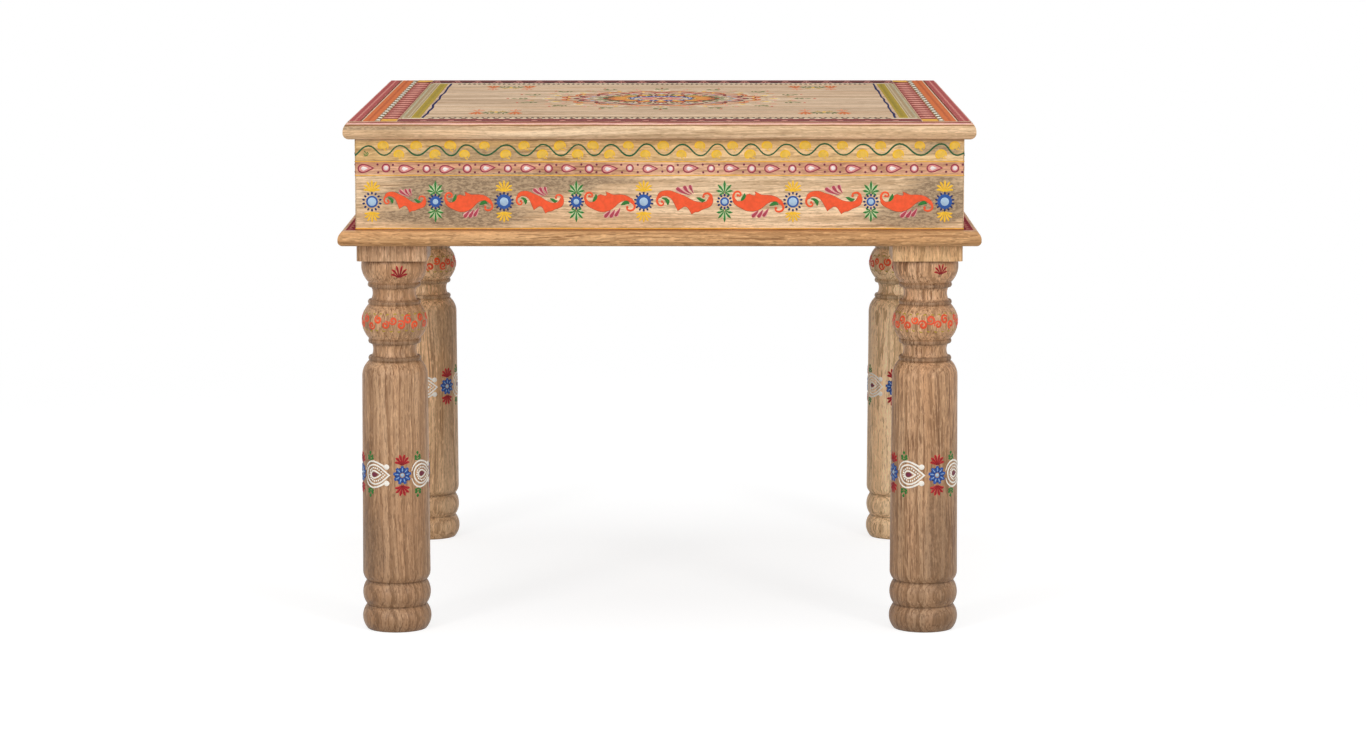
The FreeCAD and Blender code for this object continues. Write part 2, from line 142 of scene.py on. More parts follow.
class BajotWoods(bpy.types.PropertyGroup):
    """Tones of the bare and oiled wood"""
    top: colour_of("Top wood", 233, 201, 165)
    apron: colour_of("Apron wood", 232, 201, 165)
    rail: colour_of("Frame wood", 212, 166, 119)
    leg: colour_of("Leg wood", 191, 152, 117)
    # Painted light: the two back legs are the leg wood made lighter, to stand against the shade under the
    # box.
    back_left_leg_lightened: colour_of("Back left leg wood", 236, 196, 154)
    back_right_leg_lightened: colour_of("Back right leg wood", 246, 212, 170)
    block: colour_of("Leg block wood", 212, 174, 140)
    pale_block: colour_of("Pale leg block wood", 232, 192, 146)
    inner: colour_of("Inner wood", 196, 160, 118)
    figure: FloatProperty(
        name="Figure", description="How strongly the growth rings show", subtype="FACTOR",
        default=1.0, min=0.0, max=2.0)


class BajotRelief(bpy.types.PropertyGroup):
    """How far the paint stands up, and the sizes of the ornament"""
    thick: length_of("Thickest paint", "How far the thickest paint stands up", 0.9)
    sink: length_of("Sink", "How deep the paint sits in the wood", 0.08)
    wave_swing: length_of("Wave swing", "Height of the wavy line from trough to crest", 11.0)
    wave_width: length_of("Wave width", "Width of the wavy line", 1.7)
    line_width: length_of("Line width", "Width of the thin border lines", 1.25)
    gem_pitch: length_of("Gem pitch", "Distance from one drop to the next", 38.6)
    ring_height: length_of("Ring height", "Height of the motif ring on the front legs", 154.3)


class BajotStudio(bpy.types.PropertyGroup):
    """Plain light round the table"""
    side: power_of("Side lamps", "each lamp beside the camera", 29.0)
    front: power_of("Front lamp", "the low lamp behind the camera", 7.0)
    above: power_of("Lamp above", "the lamp over the table", 29.0)
    sky: FloatProperty(name="Sky light", description="Strength of the even light", default=0.40)


GROUPS = {"bajot_paints": BajotPaints, "bajot_woods": BajotWoods, "bajot_relief": BajotRelief,
          "bajot_studio": BajotStudio}


# Node recipes

class Recipe:
    """The nodes of one new material or world."""

    def __init__(self, owner):
        self.owner = owner
        owner.use_nodes = True
        self.tree = owner.node_tree
        self.tree.nodes.clear()

    @cached_property
    def place(self):
        return self.add("ShaderNodeTexCoord").outputs["Object"]

    @cached_property
    def height(self):
        return self.add("ShaderNodeSeparateXYZ", Vector=self.place).outputs["Z"]

    def feed(self, socket, value):
        if isinstance(value, bpy.types.NodeSocket):
            self.tree.links.new(value, socket)
        else:
            socket.default_value = value

    def add(self, kind, settings=None, **sockets):
        """A node; a socket is named, with _ for a space, or numbered as _0, _1 and so on."""
        node = self.tree.nodes.new(kind)
        for key, value in (settings or {}).items():
            setattr(node, key, value)
        for key, value in sockets.items():
            self.feed(node.inputs[int(key[1:]) if key[0] == "_" else key.replace("_", " ")], value)
        return node

    def turned(self, vector, turn=(0, 0, 0), shift=(0, 0, 0), scale=(1, 1, 1)):
        return self.add("ShaderNodeMapping", Vector=vector, Location=shift, Rotation=turn,
                        Scale=scale).outputs[0]

    def noise(self, vector, scale, detail, roughness=0.5, distortion=0.0, output="Fac"):
        return self.add("ShaderNodeTexNoise", Vector=vector, Scale=scale, Detail=detail,
                        Roughness=roughness, Distortion=distortion).outputs[output]

    def maths(self, operation, first, second, clamp=False):
        return self.add("ShaderNodeMath", {"operation": operation, "use_clamp": clamp},
                        _0=first, _1=second).outputs[0]

    def times(self, first, second, clamp=False):
        return self.maths("MULTIPLY", first, second, clamp)

    def vector(self, operation, first, **second):
        node = self.add("ShaderNodeVectorMath", {"operation": operation}, _0=first, **second)
        return node.outputs["Value" if operation in ("LENGTH", "DISTANCE") else "Vector"]

    def between(self, value, low_end, high_end, out_low=0.0, out_high=1.0):
        return self.add("ShaderNodeMapRange", {"interpolation_type": "SMOOTHSTEP"}, Value=value,
                        From_Min=low_end, From_Max=high_end, To_Min=out_low, To_Max=out_high).outputs[0]

    def mixed(self, factor, first, second, kind="MIX"):
        node = self.add("ShaderNodeMix", {"data_type": "RGBA", "blend_type": kind}, Factor=factor)
        for socket, value in ((node.inputs[6], first), (node.inputs[7], second)):
            self.feed(socket, (*value, 1.0) if isinstance(value, tuple) else value)
        return node.outputs[2]

    def steps(self, value, stops, full):
        """A grey that follows value through (place, share) stops; a share of full is white."""
        ramp = self.add("ShaderNodeValToRGB", Fac=value)
        elements = ramp.color_ramp.elements
        elements.remove(elements[1])
        for index, (place, share) in enumerate(stops):
            stop = elements[0] if index == 0 else elements.new(place)
            stop.position = place
            stop.color = (share / full, share / full, share / full, 1)
        return self.vector("SCALE", ramp.outputs["Color"], Scale=full)

    def blend(self, factor, first, second):
        return self.add("ShaderNodeMixShader", _0=factor, _1=first, _2=second).outputs[0]

    def white_glow(self, strength):
        return self.add("ShaderNodeEmission", Color=(1, 1, 1, 1), Strength=strength).outputs[0]

    def seen(self):
        """1 for what the camera sees, also in a mirror or through glass, and 0 for the light itself."""
        path = self.add("ShaderNodeLightPath").outputs
        mirrored = self.maths("MAXIMUM", path["Is Glossy Ray"], path["Is Transmission Ray"])
        return self.maths("MAXIMUM", path["Is Camera Ray"], mirrored)

    def finish(self, colour, roughness, relief, strength, depth, **sockets):
        """The shader, with relief as a bump of so much strength and depth."""
        normal = self.add("ShaderNodeBump", Height=relief, Strength=strength, Distance=depth).outputs[0]
        shader = self.add("ShaderNodeBsdfPrincipled", Base_Color=colour, Roughness=roughness,
                          Normal=normal, **sockets)
        self.add("ShaderNodeOutputMaterial", Surface=shader.outputs[0])
        return self.owner


def tinted(colour, red, green, blue):
    return (colour[0] * red, colour[1] * green, colour[2] * blue)


def blended(colour, other, share):
    return tuple((1 - share) * c + share * o for c, o in zip(colour, other))


# Wood

GRAIN_TURN = {"x": (0, 0, 0), "y": (0, 0, math.pi / 2), "z": (0, math.pi / 2, 0)}
LIGHTEST = 1.4
BAND_BLUR = 0.6


class Timber(Recipe):
    """Solid wood's nodes: growth rings round a heart line along the grain, fibres, pores and tone drift."""

    def __init__(self, name, grain, seed, heart):
        super().__init__(bpy.data.materials.new(name))
        dice = random.Random(seed)
        shift = (dice.uniform(-3, 3), dice.uniform(-0.03, 0.03), dice.uniform(-0.03, 0.03))
        along = self.turned(self.place, GRAIN_TURN[grain], shift)
        drift = self.noise(self.turned(along, scale=(1.6, 7, 7)), 1.0, 3.0, 0.55, output="Color")
        self.grainwise = self.vector("ADD", along, _1=self.vector("SCALE", drift, Scale=0.034))
        self.about_heart = self.turned(self.grainwise, shift=(0, dice.uniform(-0.05, 0.05), heart),
                                       scale=(0.1, 1, 1))
        self.tone = self.grain(2.6, 44, 4.0, 0.6)
        self.fibre = self.grain(10, 380, 4.0, 0.66)

    def grain(self, along, across, detail, roughness, shift=(0, 0, 0), distortion=0.0):
        """Noise with so many waves to the metre along the grain and across it."""
        return self.noise(self.turned(self.grainwise, shift=shift, scale=(along, across, across)), 1.0,
                          detail, roughness, distortion)

    def growth(self, scale, distortion, detail_scale, detail_roughness, low_end, high_end):
        """Growth rings: the share of each ring from low_end to high_end turns dark."""
        wave = self.add("ShaderNodeTexWave",
                        {"wave_type": "RINGS", "rings_direction": "X", "wave_profile": "SAW"},
                        Vector=self.about_heart, Scale=scale, Distortion=distortion, Detail=3.0,
                        Detail_Scale=detail_scale, Detail_Roughness=detail_roughness).outputs["Fac"]
        return self.between(wave, low_end, high_end)

    def height_wash(self, base, low_end, high_end, share):
        """A wash of colour between two heights in millimetres, deeper where the wood is dense; it makes
        stains, painted shade and painted sheen.
        """
        def step(height, *ends):
            return self.between(self.height, (height - BAND_BLUR) * MM, (height + BAND_BLUR) * MM, *ends)
        band = self.times(step(low_end), step(high_end, 1.0, 0.0))
        strength = self.times(band, self.between(self.tone, 0.25, 0.7, 0.45, 1.0))
        return self.mixed(strength, base, share, "MULTIPLY")

    def dark_patch(self, base, colour, place, reach, strength):
        """A mottled mineral mark with a ragged edge, at a place and with a reach in millimetres."""
        away = self.turned(self.place, shift=tuple(-p / r for p, r in zip(place, reach)),
                           scale=tuple(1 / (r * MM) for r in reach))
        distance = self.vector("LENGTH", away)
        ragged = self.maths("ADD", distance, self.between(self.tone, 0.2, 0.8, -0.45, 0.45))
        ragged = self.maths("ADD", ragged, self.between(self.fibre, 0.3, 0.7, -0.2, 0.2))
        mottle = self.between(self.grain(230, 560, 3.0, 0.7), 0.42, 0.58)
        dark = self.mixed(mottle, tinted(colour, 0.32, 0.30, 0.28), tinted(colour, 0.60, 0.58, 0.55))
        return self.mixed(self.between(ragged, 0.66, 1.16, strength, 0.0), base, dark)


def make_wood(name, colour, grain, seed, flecks, rings, patches=(), height_washes=(), heart=0.06, levels=(),
              sheen=0.14):
    """One board's or leg's wood. Patches are (place, reach, strength); height washes are (low, high, colour
    share) and make stains, painted shade and painted sheen; levels (share of the leg's height, lightness)
    paint light and shade up a leg."""
    wood = Timber(name, grain, seed, heart)
    ring = wood.growth(30.0, 2.2, 4.0, 0.6, 0.58, 1.0)
    line = wood.growth(64.0, 3.0, 3.0, 0.55, 0.80, 0.98)
    hair = wood.grain(40, 1100, 2.0, 0.5)
    ripple = wood.grain(300, 620, 2.0, 0.6, distortion=1.6)
    pore = wood.between(wood.grain(130, 860, 1.5, 0.5), 0.54, 0.66)
    pale = wood.between(wood.grain(100, 460, 2.0, 0.6, (5, 5, 5)), 0.54, 0.68)
    warm = wood.between(wood.grain(5, 60, 2.0, 0.5, (9, 2, 4)), 0.40, 0.68)
    cluster = wood.between(wood.grain(4, 16, 2.0, 0.5, (1, 6, 3)), 0.44, 0.60)
    streak = wood.between(wood.grain(9, 560, 3.0, 0.55, (3, 7, 1)), 0.54, 0.63)
    base = tinted(colour, 1.20, 1.23, 1.25)
    for share, tint in (
            (wood.between(wood.tone, 0.34, 0.66), (0.84, 0.79, 0.72)),
            (wood.times(warm, 0.6), (1.0, 0.85, 0.72)),
            (wood.times(ring, 0.52 * rings), (0.58, 0.50, 0.41)),
            (wood.times(line, 0.5 * rings), (0.50, 0.42, 0.34)),
            (wood.between(wood.fibre, 0.46, 0.66, 0.0, 0.60), (0.54, 0.47, 0.38)),
            (wood.times(streak, wood.times(cluster, 0.8 * rings, True)), (0.38, 0.30, 0.23)),
            (wood.between(ripple, 0.46, 0.62, 0.0, 0.42 * flecks), (0.60, 0.54, 0.46)),
            (wood.times(pale, 0.60 * flecks), (1.60, 1.60, 1.58)),
            (wood.times(pore, 0.85 * flecks), (0.34, 0.28, 0.22))):
        base = wood.mixed(share, base, tinted(colour, *tint))
    for height_wash in height_washes:
        base = wood.height_wash(base, *height_wash)
    for patch in patches:
        base = wood.dark_patch(base, colour, *patch)
    # Painted light and shade: the wood is made lighter or darker by height up the leg.
    if levels:
        light = wood.steps(wood.times(wood.height, 1 / (LEG_TOP * MM)), levels, LIGHTEST)
        base = wood.mixed(1.0, base, light, "MULTIPLY")
    rough = wood.between(wood.fibre, 0.3, 0.8, 0.40, 0.60)
    hollows = wood.maths("ADD", wood.times(pore, 0.9), wood.times(wood.fibre, 0.5))
    relief = wood.maths("SUBTRACT", wood.times(hair, 0.35), hollows)
    return wood.finish(base, rough, relief, 0.5, 0.4 * MM, Specular_IOR_Level=sheen)


# Paint and metal

RUBBED_WOOD = linear(190, 150, 110)
WORN_WOOD = linear(188, 172, 138)
PAINTS = {}


def make_paint(name, colour, gloss, shine):
    """Thick hand-laid paint: streaky, a little chalky, scuffed here and there."""
    recipe = Recipe(bpy.data.materials.new(name))
    cloud = recipe.noise(recipe.place, 260.0, 3.0, 0.6)
    grit = recipe.noise(recipe.place, 1500.0, 2.0, 0.6)
    rub = recipe.between(recipe.noise(recipe.place, 700.0, 4.0, 0.75), 0.68, 0.76)
    base = recipe.mixed(recipe.between(cloud, 0.3, 0.7), tinted(colour, 1.06, 1.06, 1.06),
                        tinted(colour, 0.90, 0.90, 0.92))
    base = recipe.mixed(recipe.times(rub, 0.25), base, blended(colour, RUBBED_WOOD, 0.4))
    rough = recipe.between(cloud, 0.2, 0.8, gloss - 0.08, gloss + 0.12)
    return recipe.finish(base, rough, grit, 0.25, 0.2 * MM, Specular_IOR_Level=shine)


def paint(name, worn):
    """The finish of one of the painter's colours; worn paint lets some of the wood show."""
    if (name, worn) not in PAINTS:
        share = worn * (0.4 if name in ("navy", "blue", "ink") else 1.0)
        colour = blended(getattr(bpy.context.scene.bajot_paints, name), WORN_WOOD, share)
        label = f"{name.capitalize()} paint" + (" worn" if worn else "")
        gloss = 0.3 if name in ("pearl", "sky") else 0.42
        PAINTS[name, worn] = make_paint(label, colour, gloss + worn, 0.0 if worn else 0.3)
    return PAINTS[name, worn]


def make_steel():
    recipe = Recipe(bpy.data.materials.new("Zinc plated steel"))
    cloud = recipe.noise(recipe.place, 300.0, 4.0, 0.6)
    base = recipe.mixed(recipe.between(cloud, 0.3, 0.7), linear(186, 184, 176), linear(150, 150, 148))
    thread = recipe.add("ShaderNodeTexWave", {"bands_direction": "Z", "wave_profile": "TRI"},
                        Vector=recipe.place, Scale=251.3, Distortion=0.0).outputs["Fac"]
    return recipe.finish(base, recipe.between(cloud, 0.2, 0.8, 0.28, 0.48), thread, 0.5, 0.6 * MM,
                         Metallic=0.9)


# Drawing with brush strokes: every motif is drawn once, flat, in millimetres, and laid on later

BRUSH_RIDGE = [(-1.0, -0.12), (-0.78, 0.30), (0.0, 0.52), (0.78, 0.30), (1.0, -0.12)]
SMOOTH_PAINT = 50
SMOOTH_STEEL = 35


def clear_hands():
    if bpy.context.object and bpy.context.object.mode != "OBJECT":
        bpy.ops.object.mode_set(mode="OBJECT")
    bpy.ops.object.select_all(action="DESELECT")


def points_of(data):
    points = np.zeros(len(data.vertices) * 3)
    data.vertices.foreach_get("co", points)
    return points.reshape(-1, 3)


def taken(drawing):
    """The drawing's points and faces; the drawing itself is put away."""
    data = drawing.data
    points = points_of(data)
    faces = [tuple(face.vertices) for face in data.polygons]
    bpy.data.objects.remove(drawing)
    bpy.data.meshes.remove(data)
    return points, faces


def half_round():
    """The brush: the rounded ridge that thick paint leaves, one unit to each side."""
    brush = bpy.data.objects.get("Brush")
    if brush:
        return brush
    clear_hands()
    bpy.ops.curve.primitive_bezier_curve_add()
    brush = bpy.context.object
    brush.name = "Brush"
    brush.data.splines.clear()
    spline = brush.data.splines.new("POLY")
    spline.points.add(len(BRUSH_RIDGE) - 1)
    for point, place in zip(spline.points, BRUSH_RIDGE):
        point.co = (*place, 0, 1)
    return brush


def pencil_line(points, widths, closed, steps, sharp, fill):
    """A flat curve through points, as wide there as widths say, with corners at the sharp ones."""
    clear_hands()
    bpy.ops.curve.primitive_bezier_curve_add()
    line = bpy.context.object
    line.data.splines.clear()
    spline = line.data.splines.new("BEZIER")
    spline.bezier_points.add(len(points) - 1)
    for index, (knot, place, width) in enumerate(zip(spline.bezier_points, points, widths)):
        knot.co = (*place, 0)
        knot.handle_left_type = knot.handle_right_type = "VECTOR" if index in sharp else "AUTO"
        knot.radius = width / 2
    spline.use_cyclic_u = closed
    line.data.dimensions = "2D"
    line.data.fill_mode = fill
    line.data.resolution_u = steps
    return line


def stroke(points, widths, steps, closed=False, sharp=()):
    """One brush stroke through points."""
    brush = half_round()
    line = pencil_line(points, widths, closed, steps, sharp, "NONE")
    line.data.bevel_mode = "OBJECT"
    line.data.bevel_object = brush
    bpy.ops.object.convert(target="MESH")
    return taken(bpy.context.object)


def flat_fill(points, thickness, edge, steps=3, sharp=()):
    """A closed shape laid on thinly, with a rounded rim."""
    line = pencil_line(points, [2.0] * len(points), True, steps, sharp, "FRONT")
    line.data.extrude = thickness / 2
    line.data.bevel_depth = edge
    line.data.bevel_resolution = 0
    line.data.offset = -edge
    bpy.ops.object.convert(target="MESH")
    points, faces = taken(bpy.context.object)
    points[:, 2] += thickness / 2
    return points, faces


def inset_disc(radius, sides, insets):
    """A disc whose face is inset again and again, each time by (width, rise)."""
    clear_hands()
    bpy.ops.mesh.primitive_circle_add(vertices=sides, radius=radius, fill_type="NGON")
    disc = bpy.context.object
    bpy.ops.object.mode_set(mode="EDIT")
    bpy.ops.mesh.select_all(action="SELECT")
    for width, rise in insets:
        bpy.ops.mesh.inset(thickness=width, depth=rise)
    bpy.ops.object.mode_set(mode="OBJECT")
    return taken(disc)


def circle_points(radius, count):
    return [(radius * math.sin(2 * math.pi * i / count), radius * math.cos(2 * math.pi * i / count))
            for i in range(count)]


def new_piece(name, points, faces, materials, slots, smooth_below):
    """One piece of the table, given in millimetres, with its place in its mesh."""
    mesh = bpy.data.meshes.new(name)
    mesh.from_pydata(points * MM, [], faces)
    for material in materials:
        mesh.materials.append(material)
    mesh.polygons.foreach_set("material_index", slots)
    mesh.validate()
    piece = bpy.data.objects.new(name, mesh)
    bpy.context.scene.collection.objects.link(piece)
    clear_hands()
    piece.select_set(True)
    bpy.context.view_layer.objects.active = piece
    bpy.ops.object.shade_smooth_by_angle(angle=math.radians(smooth_below))
    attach(piece, "root")
    return piece


class Motif:
    """Shapes by colour, drawn flat round the motif's own middle: (colour, points, faces)."""

    def __init__(self):
        self.layers = []

    def dab(self, colour, shape, lift=0.0):
        points, faces = shape
        self.layers.append((colour, points + (0, 0, lift), faces))
        return self

    def line(self, colour, points, widths, steps=3, lift=0.0):
        return self.dab(colour, stroke(points, widths, steps), lift)

    def upright(self, colour, heights, widths, **how):
        return self.line(colour, [(0, height) for height in heights], widths, **how)

    def arch(self, colour, half, widths):
        """A stroke that is alike to both sides, given from its right end to its middle."""
        left = [(-x, y) for x, y in half[:-1]]
        return self.line(colour, left + half[::-1], widths + widths[-2::-1], steps=4)

    def loop(self, colour, outline, width, steps=3, sharp=()):
        return self.dab(colour, stroke(outline, [width] * len(outline), steps, True, sharp))

    def fill(self, colour, outline, *how):
        return self.dab(colour, flat_fill(outline, *how))

    def drop(self, colour, radius, height, sides=8, flat=0.55):
        """A round drop, pulled up in two steps; flat is the share of it that stays flat on top."""
        rim = 0.18
        steps = ((radius * rim, height * 0.62), (radius * (1 - rim - flat), height * 0.38))
        return self.dab(colour, inset_disc(radius, sides, steps))

    def wash(self, colour, left, right, bottom, top):
        """A flat painted band with a thin rounded rim."""
        corners = [(left, bottom), (right, bottom), (right, top), (left, top)]
        return self.fill(colour, corners, 0.16, 0.08, 1, (0, 1, 2, 3))

    def ruled(self, colour, first, last, width, pieces, stray=0.12):
        """A line drawn by hand from first to last: it wanders a little, and so does its width."""
        dice = random.Random(f"{first}{last}")
        points, widths = [], []
        for index in range(pieces + 1):
            share = index / pieces
            points.append((first[0] + (last[0] - first[0]) * share + dice.uniform(-stray, stray),
                           first[1] + (last[1] - first[1]) * share + dice.uniform(-stray, stray)))
            widths.append(width * dice.uniform(0.82, 1.15))
        return self.line(colour, points, widths, steps=2)

    def lay(self, other, across=0.0, up=0.0, turn=0.0, size=1.0, flip=False, tall=1.0, lift=0.0):
        """Copies another motif on this one, moved, turned, scaled and perhaps upside down."""
        cos, sin = math.cos(turn), math.sin(turn)
        wide, long = (size, size) if isinstance(size, (int, float)) else size
        for colour, points, faces in other.layers:
            moved = points * (wide, -long if flip else long, tall)
            x, y = moved[:, 0].copy(), moved[:, 1].copy()
            moved[:, 0] = x * cos - y * sin + across
            moved[:, 1] = x * sin + y * cos + up
            moved[:, 2] += lift
            if flip != (wide < 0):
                faces = [tuple(reversed(face)) for face in faces]
            self.layers.append((colour, moved, faces))
        return self

    def around(self, part, count, radius, start=0.0, size=1.0, lift=0.0):
        """Copies of one motif all round, each with its own up turned outwards."""
        for index in range(count):
            angle = start + 2 * math.pi * index / count
            self.lay(part, radius * math.sin(angle), radius * math.cos(angle), -angle, size, lift=lift)
        return self

    def hang(self, name, wrap, worn=0.0):
        """One piece of the table: the motif on a surface, where no paint stands up more than thick."""
        relief = bpy.context.scene.bajot_relief
        thick = relief.thick / MM
        points, faces, slots, colours = [], [], [], []
        start = 0
        for colour, shape, rows in self.layers:
            if colour not in colours:
                colours.append(colour)
            points.append(shape)
            faces += [tuple(index + start for index in row) for row in rows]
            slots += [colours.index(colour)] * len(rows)
            start += len(shape)
        flat = np.vstack(points)
        flat[:, 2] = np.where(flat[:, 2] > 0, thick * (1 - np.exp(-flat[:, 2] / thick)), flat[:, 2])
        flat[:, 2] -= relief.sink / MM
        finishes = [paint(colour, worn) for colour in colours]
        new_piece(name, wrap(flat), faces, finishes, slots, SMOOTH_PAINT)


# Where a flat drawing goes on the table: across, up and out of the surface

EDGE_DEPTH = 9
EDGE_START = 290
EDGE_STEP = 0.3
BORE_REACH = 16


def on_side(side):
    """A drawing stands on one face of the box."""
    def wrap(flat):
        across, up, out = flat.T
        out = APRON_FACE + out
        x, y = {"front": (across, -out), "right": (out, across), "back": (-across, out),
                "left": (-out, -across)}[side]
        return np.column_stack((x, y, up))
    return wrap


def lying_at(height):
    """A drawing lies on a level face."""
    def wrap(flat):
        return flat + (0, 0, height)
    return wrap


def on_top():
    """A drawing lies on the top and follows the moulded edge, as measured from the first board."""
    points = points_of(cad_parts["top_plank_1"].data) / MM
    far = np.abs(points[:, :2]).max(axis=1)
    upper = (points[:, 2] > TOP_FACE - EDGE_DEPTH) & (far > EDGE_START)
    edge, first = np.unique(np.round(far[upper], 1), return_index=True)
    level = points[upper, 2][first]

    def wrap(flat):
        across, along, out = flat.T
        far = np.maximum(np.abs(across), np.abs(along))
        drop = np.interp(far - EDGE_STEP, edge, level) - np.interp(far + EDGE_STEP, edge, level)
        fall = drop / (2 * EDGE_STEP)
        steep = np.hypot(1, fall)
        push = out * fall / steep
        to_end = np.abs(across) >= np.abs(along)
        return np.column_stack((across + np.where(to_end, np.sign(across) * push, 0),
                                along + np.where(to_end, 0, np.sign(along) * push),
                                np.interp(far, edge, level) + out / steep))
    return wrap


def round_leg(corner, facing):
    """A drawing goes round a turned leg, its middle turned by facing degrees."""
    node = f"leg_{corner}"
    low_corner, high_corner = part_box(node)
    middle = ((low_corner + high_corner) / 2).to_2d() / MM
    points = points_of(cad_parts[node].data) / MM
    radii = np.hypot(points[:, 0] - middle.x, points[:, 1] - middle.y)
    outer = radii > BORE_REACH
    levels = np.round(points[outer, 2], 2)
    heights = np.unique(levels)
    reach = np.array([radii[outer][levels == level].max() for level in heights])

    def wrap(flat):
        across, up, out = flat.T
        radius = np.interp(up, heights, reach) + out
        angle = math.radians(facing) + across / LEG_RADIUS
        return np.column_stack((middle.x + radius * np.sin(angle), middle.y - radius * np.cos(angle), up))
    return wrap


# Motifs

SPIRAL_KNOTS = 9
LEAF_TURNS = ((0, 1.0), (-33, 0.86), (33, 0.86), (-64, 0.68), (64, 0.68), (-98, 0.42), (98, 0.42))


def palmette(colour, count, length, width, spread):
    """A fan of drop strokes, fat at the tip, that rises from its middle."""
    fan = Motif()
    for index in range(count):
        share = index / (count - 1) * 2 - 1
        angle = share * math.radians(spread)
        reach = length * (1 - 0.28 * share * share)
        points = []
        for step, bow in ((0.06, 0.0), (0.40, -0.10), (0.74, -0.06), (0.95, 0.04)):
            tilt = angle * (1 + bow)
            points.append((reach * step * math.sin(tilt), reach * step * math.cos(tilt)))
        fan.line(colour, points, [width * 0.35, width * 0.62, width, width * 0.45])
    return fan


def leaf_fan(colour, length, width, under=None):
    """Pointed leaves that spread from one root, the middle one tallest, perhaps on a paler fan."""
    fan = Motif()
    if under:
        fan.lay(leaf_fan(under, length * 0.92, width * 1.7), tall=0.35)
    for degrees, reach in LEAF_TURNS:
        angle = math.radians(degrees)
        far = length * reach
        points = [(far * step * math.sin(angle * bow), far * step * math.cos(angle * bow))
                  for step, bow in ((0.10, 0.8), (0.42, 0.86), (0.74, 1.0), (1.0, 1.10))]
        share = 0.7 + 0.3 * reach
        fan.line(colour, points, [0.6, width * 0.62 * share, width * share, width * 0.22])
    return fan


def fern(colour, length, width):
    """A stem with paired leaves and one at the tip."""
    sprig = Motif()
    sprig.line(colour, [(0, 0), (0.15, length * 0.45), (0, length * 0.75)], [0.7, 0.6, 0.5])
    sprig.line(colour, [(0, length * 0.66), (0.1, length * 0.86), (0, length)],
               [width * 0.4, width, width * 0.3])
    for side in (-1, 1):
        for height, reach, rise in ((0.10, 0.44, 0.36), (0.34, 0.42, 0.40)):
            points = [(side * length * reach * out, length * (height + rise * up))
                      for out, up in ((0, 0), (0.42, 0.22), (0.70, 0.48), (0.85, 0.62))]
            sprig.line(colour, points, [0.5, width * 0.55, width * 0.95, width * 0.35])
    return sprig


def spiral(colour, radius, turns, width):
    """A curl that winds in to its own middle."""
    points, widths = [], []
    for index in range(SPIRAL_KNOTS):
        share = index / (SPIRAL_KNOTS - 1)
        reach = radius * (1 - 0.86 * share)
        angle = turns * 2 * math.pi * share
        points.append((reach * math.cos(angle), reach * math.sin(angle)))
        widths.append(width * (0.55 + 0.45 * math.sin(math.pi * share)))
    return Motif().line(colour, points, widths)


# The two orange scrolls, as points of a drawing at 24 to the millimetre, y downwards

DRAWING_SCALE = 24.0
ARCHED = {
    "middle": (815, 745),
    "body": [(200, 590), (250, 520), (330, 485), (430, 475), (520, 490), (620, 530), (740, 570), (850, 620),
             (950, 680), (1040, 720), (1150, 745), (1260, 745), (1320, 715), (1362, 655), (1440, 640),
             (1458, 700), (1440, 775), (1400, 830), (1320, 870), (1220, 905), (1130, 955), (1050, 965),
             (975, 1010), (930, 930), (880, 860), (820, 835), (760, 860), (660, 930), (620, 850), (570, 750),
             (520, 670), (450, 615), (370, 590), (290, 600), (235, 640)],
    "spikes": (22, 27),
    "curls": [([(215, 612), (183, 690), (195, 760), (250, 812), (312, 802), (330, 758), (296, 728)],
               [48, 38, 34, 32, 30, 26, 16]),
              ([(1402, 655), (1412, 600), (1372, 552), (1300, 542), (1248, 570), (1244, 612)],
               [84, 50, 36, 32, 30, 18])],
    "leaves": [([(288, 648), (366, 662), (424, 722), (430, 806)], [10, 36, 56, 14]),
               ([(1086, 636), (1150, 664), (1222, 700), (1288, 690)], [10, 40, 48, 14])],
    "fan": [([(950, 580), (830, 536), (716, 478), (650, 430), (628, 410)], [12, 26, 54, 62, 30]),
            ([(985, 556), (900, 508), (838, 440), (812, 388), (804, 366)], [12, 26, 54, 58, 28]),
            ([(1015, 540), (980, 474), (950, 416), (936, 372), (930, 350)], [12, 24, 48, 52, 26])]}
DIPPED = {
    "middle": (830, 650),
    "body": [(255, 600), (275, 680), (340, 740), (430, 790), (540, 845), (650, 868), (760, 858), (860, 820),
             (940, 765), (1010, 705), (1090, 658), (1180, 638), (1260, 650), (1320, 695), (1368, 652),
             (1310, 590), (1230, 540), (1120, 508), (1000, 500), (900, 495), (820, 455), (755, 425),
             (765, 500), (700, 505), (625, 475), (560, 500), (530, 560), (480, 615), (420, 640), (350, 640),
             (305, 600)],
    "spikes": (21, 24),
    "curls": [([(280, 612), (258, 530), (280, 455), (335, 418), (402, 434), (428, 480), (400, 516),
                (358, 502)], [52, 40, 34, 32, 32, 30, 26, 16]),
              ([(1342, 668), (1390, 740), (1396, 812), (1340, 868), (1264, 872), (1218, 832), (1226, 795)],
               [66, 40, 34, 34, 32, 28, 16])],
    "leaves": [([(516, 458), (506, 530), (470, 590), (428, 626)], [12, 48, 46, 14]),
               ([(1278, 716), (1220, 684), (1150, 706), (1082, 738)], [16, 52, 46, 12])],
    "fan": [([(830, 850), (776, 912), (712, 972), (684, 1000)], [12, 46, 64, 30]),
            ([(930, 840), (888, 912), (838, 980), (816, 1008)], [12, 46, 64, 30]),
            ([(1060, 806), (1006, 890), (952, 962), (932, 988)], [12, 44, 60, 28])]}


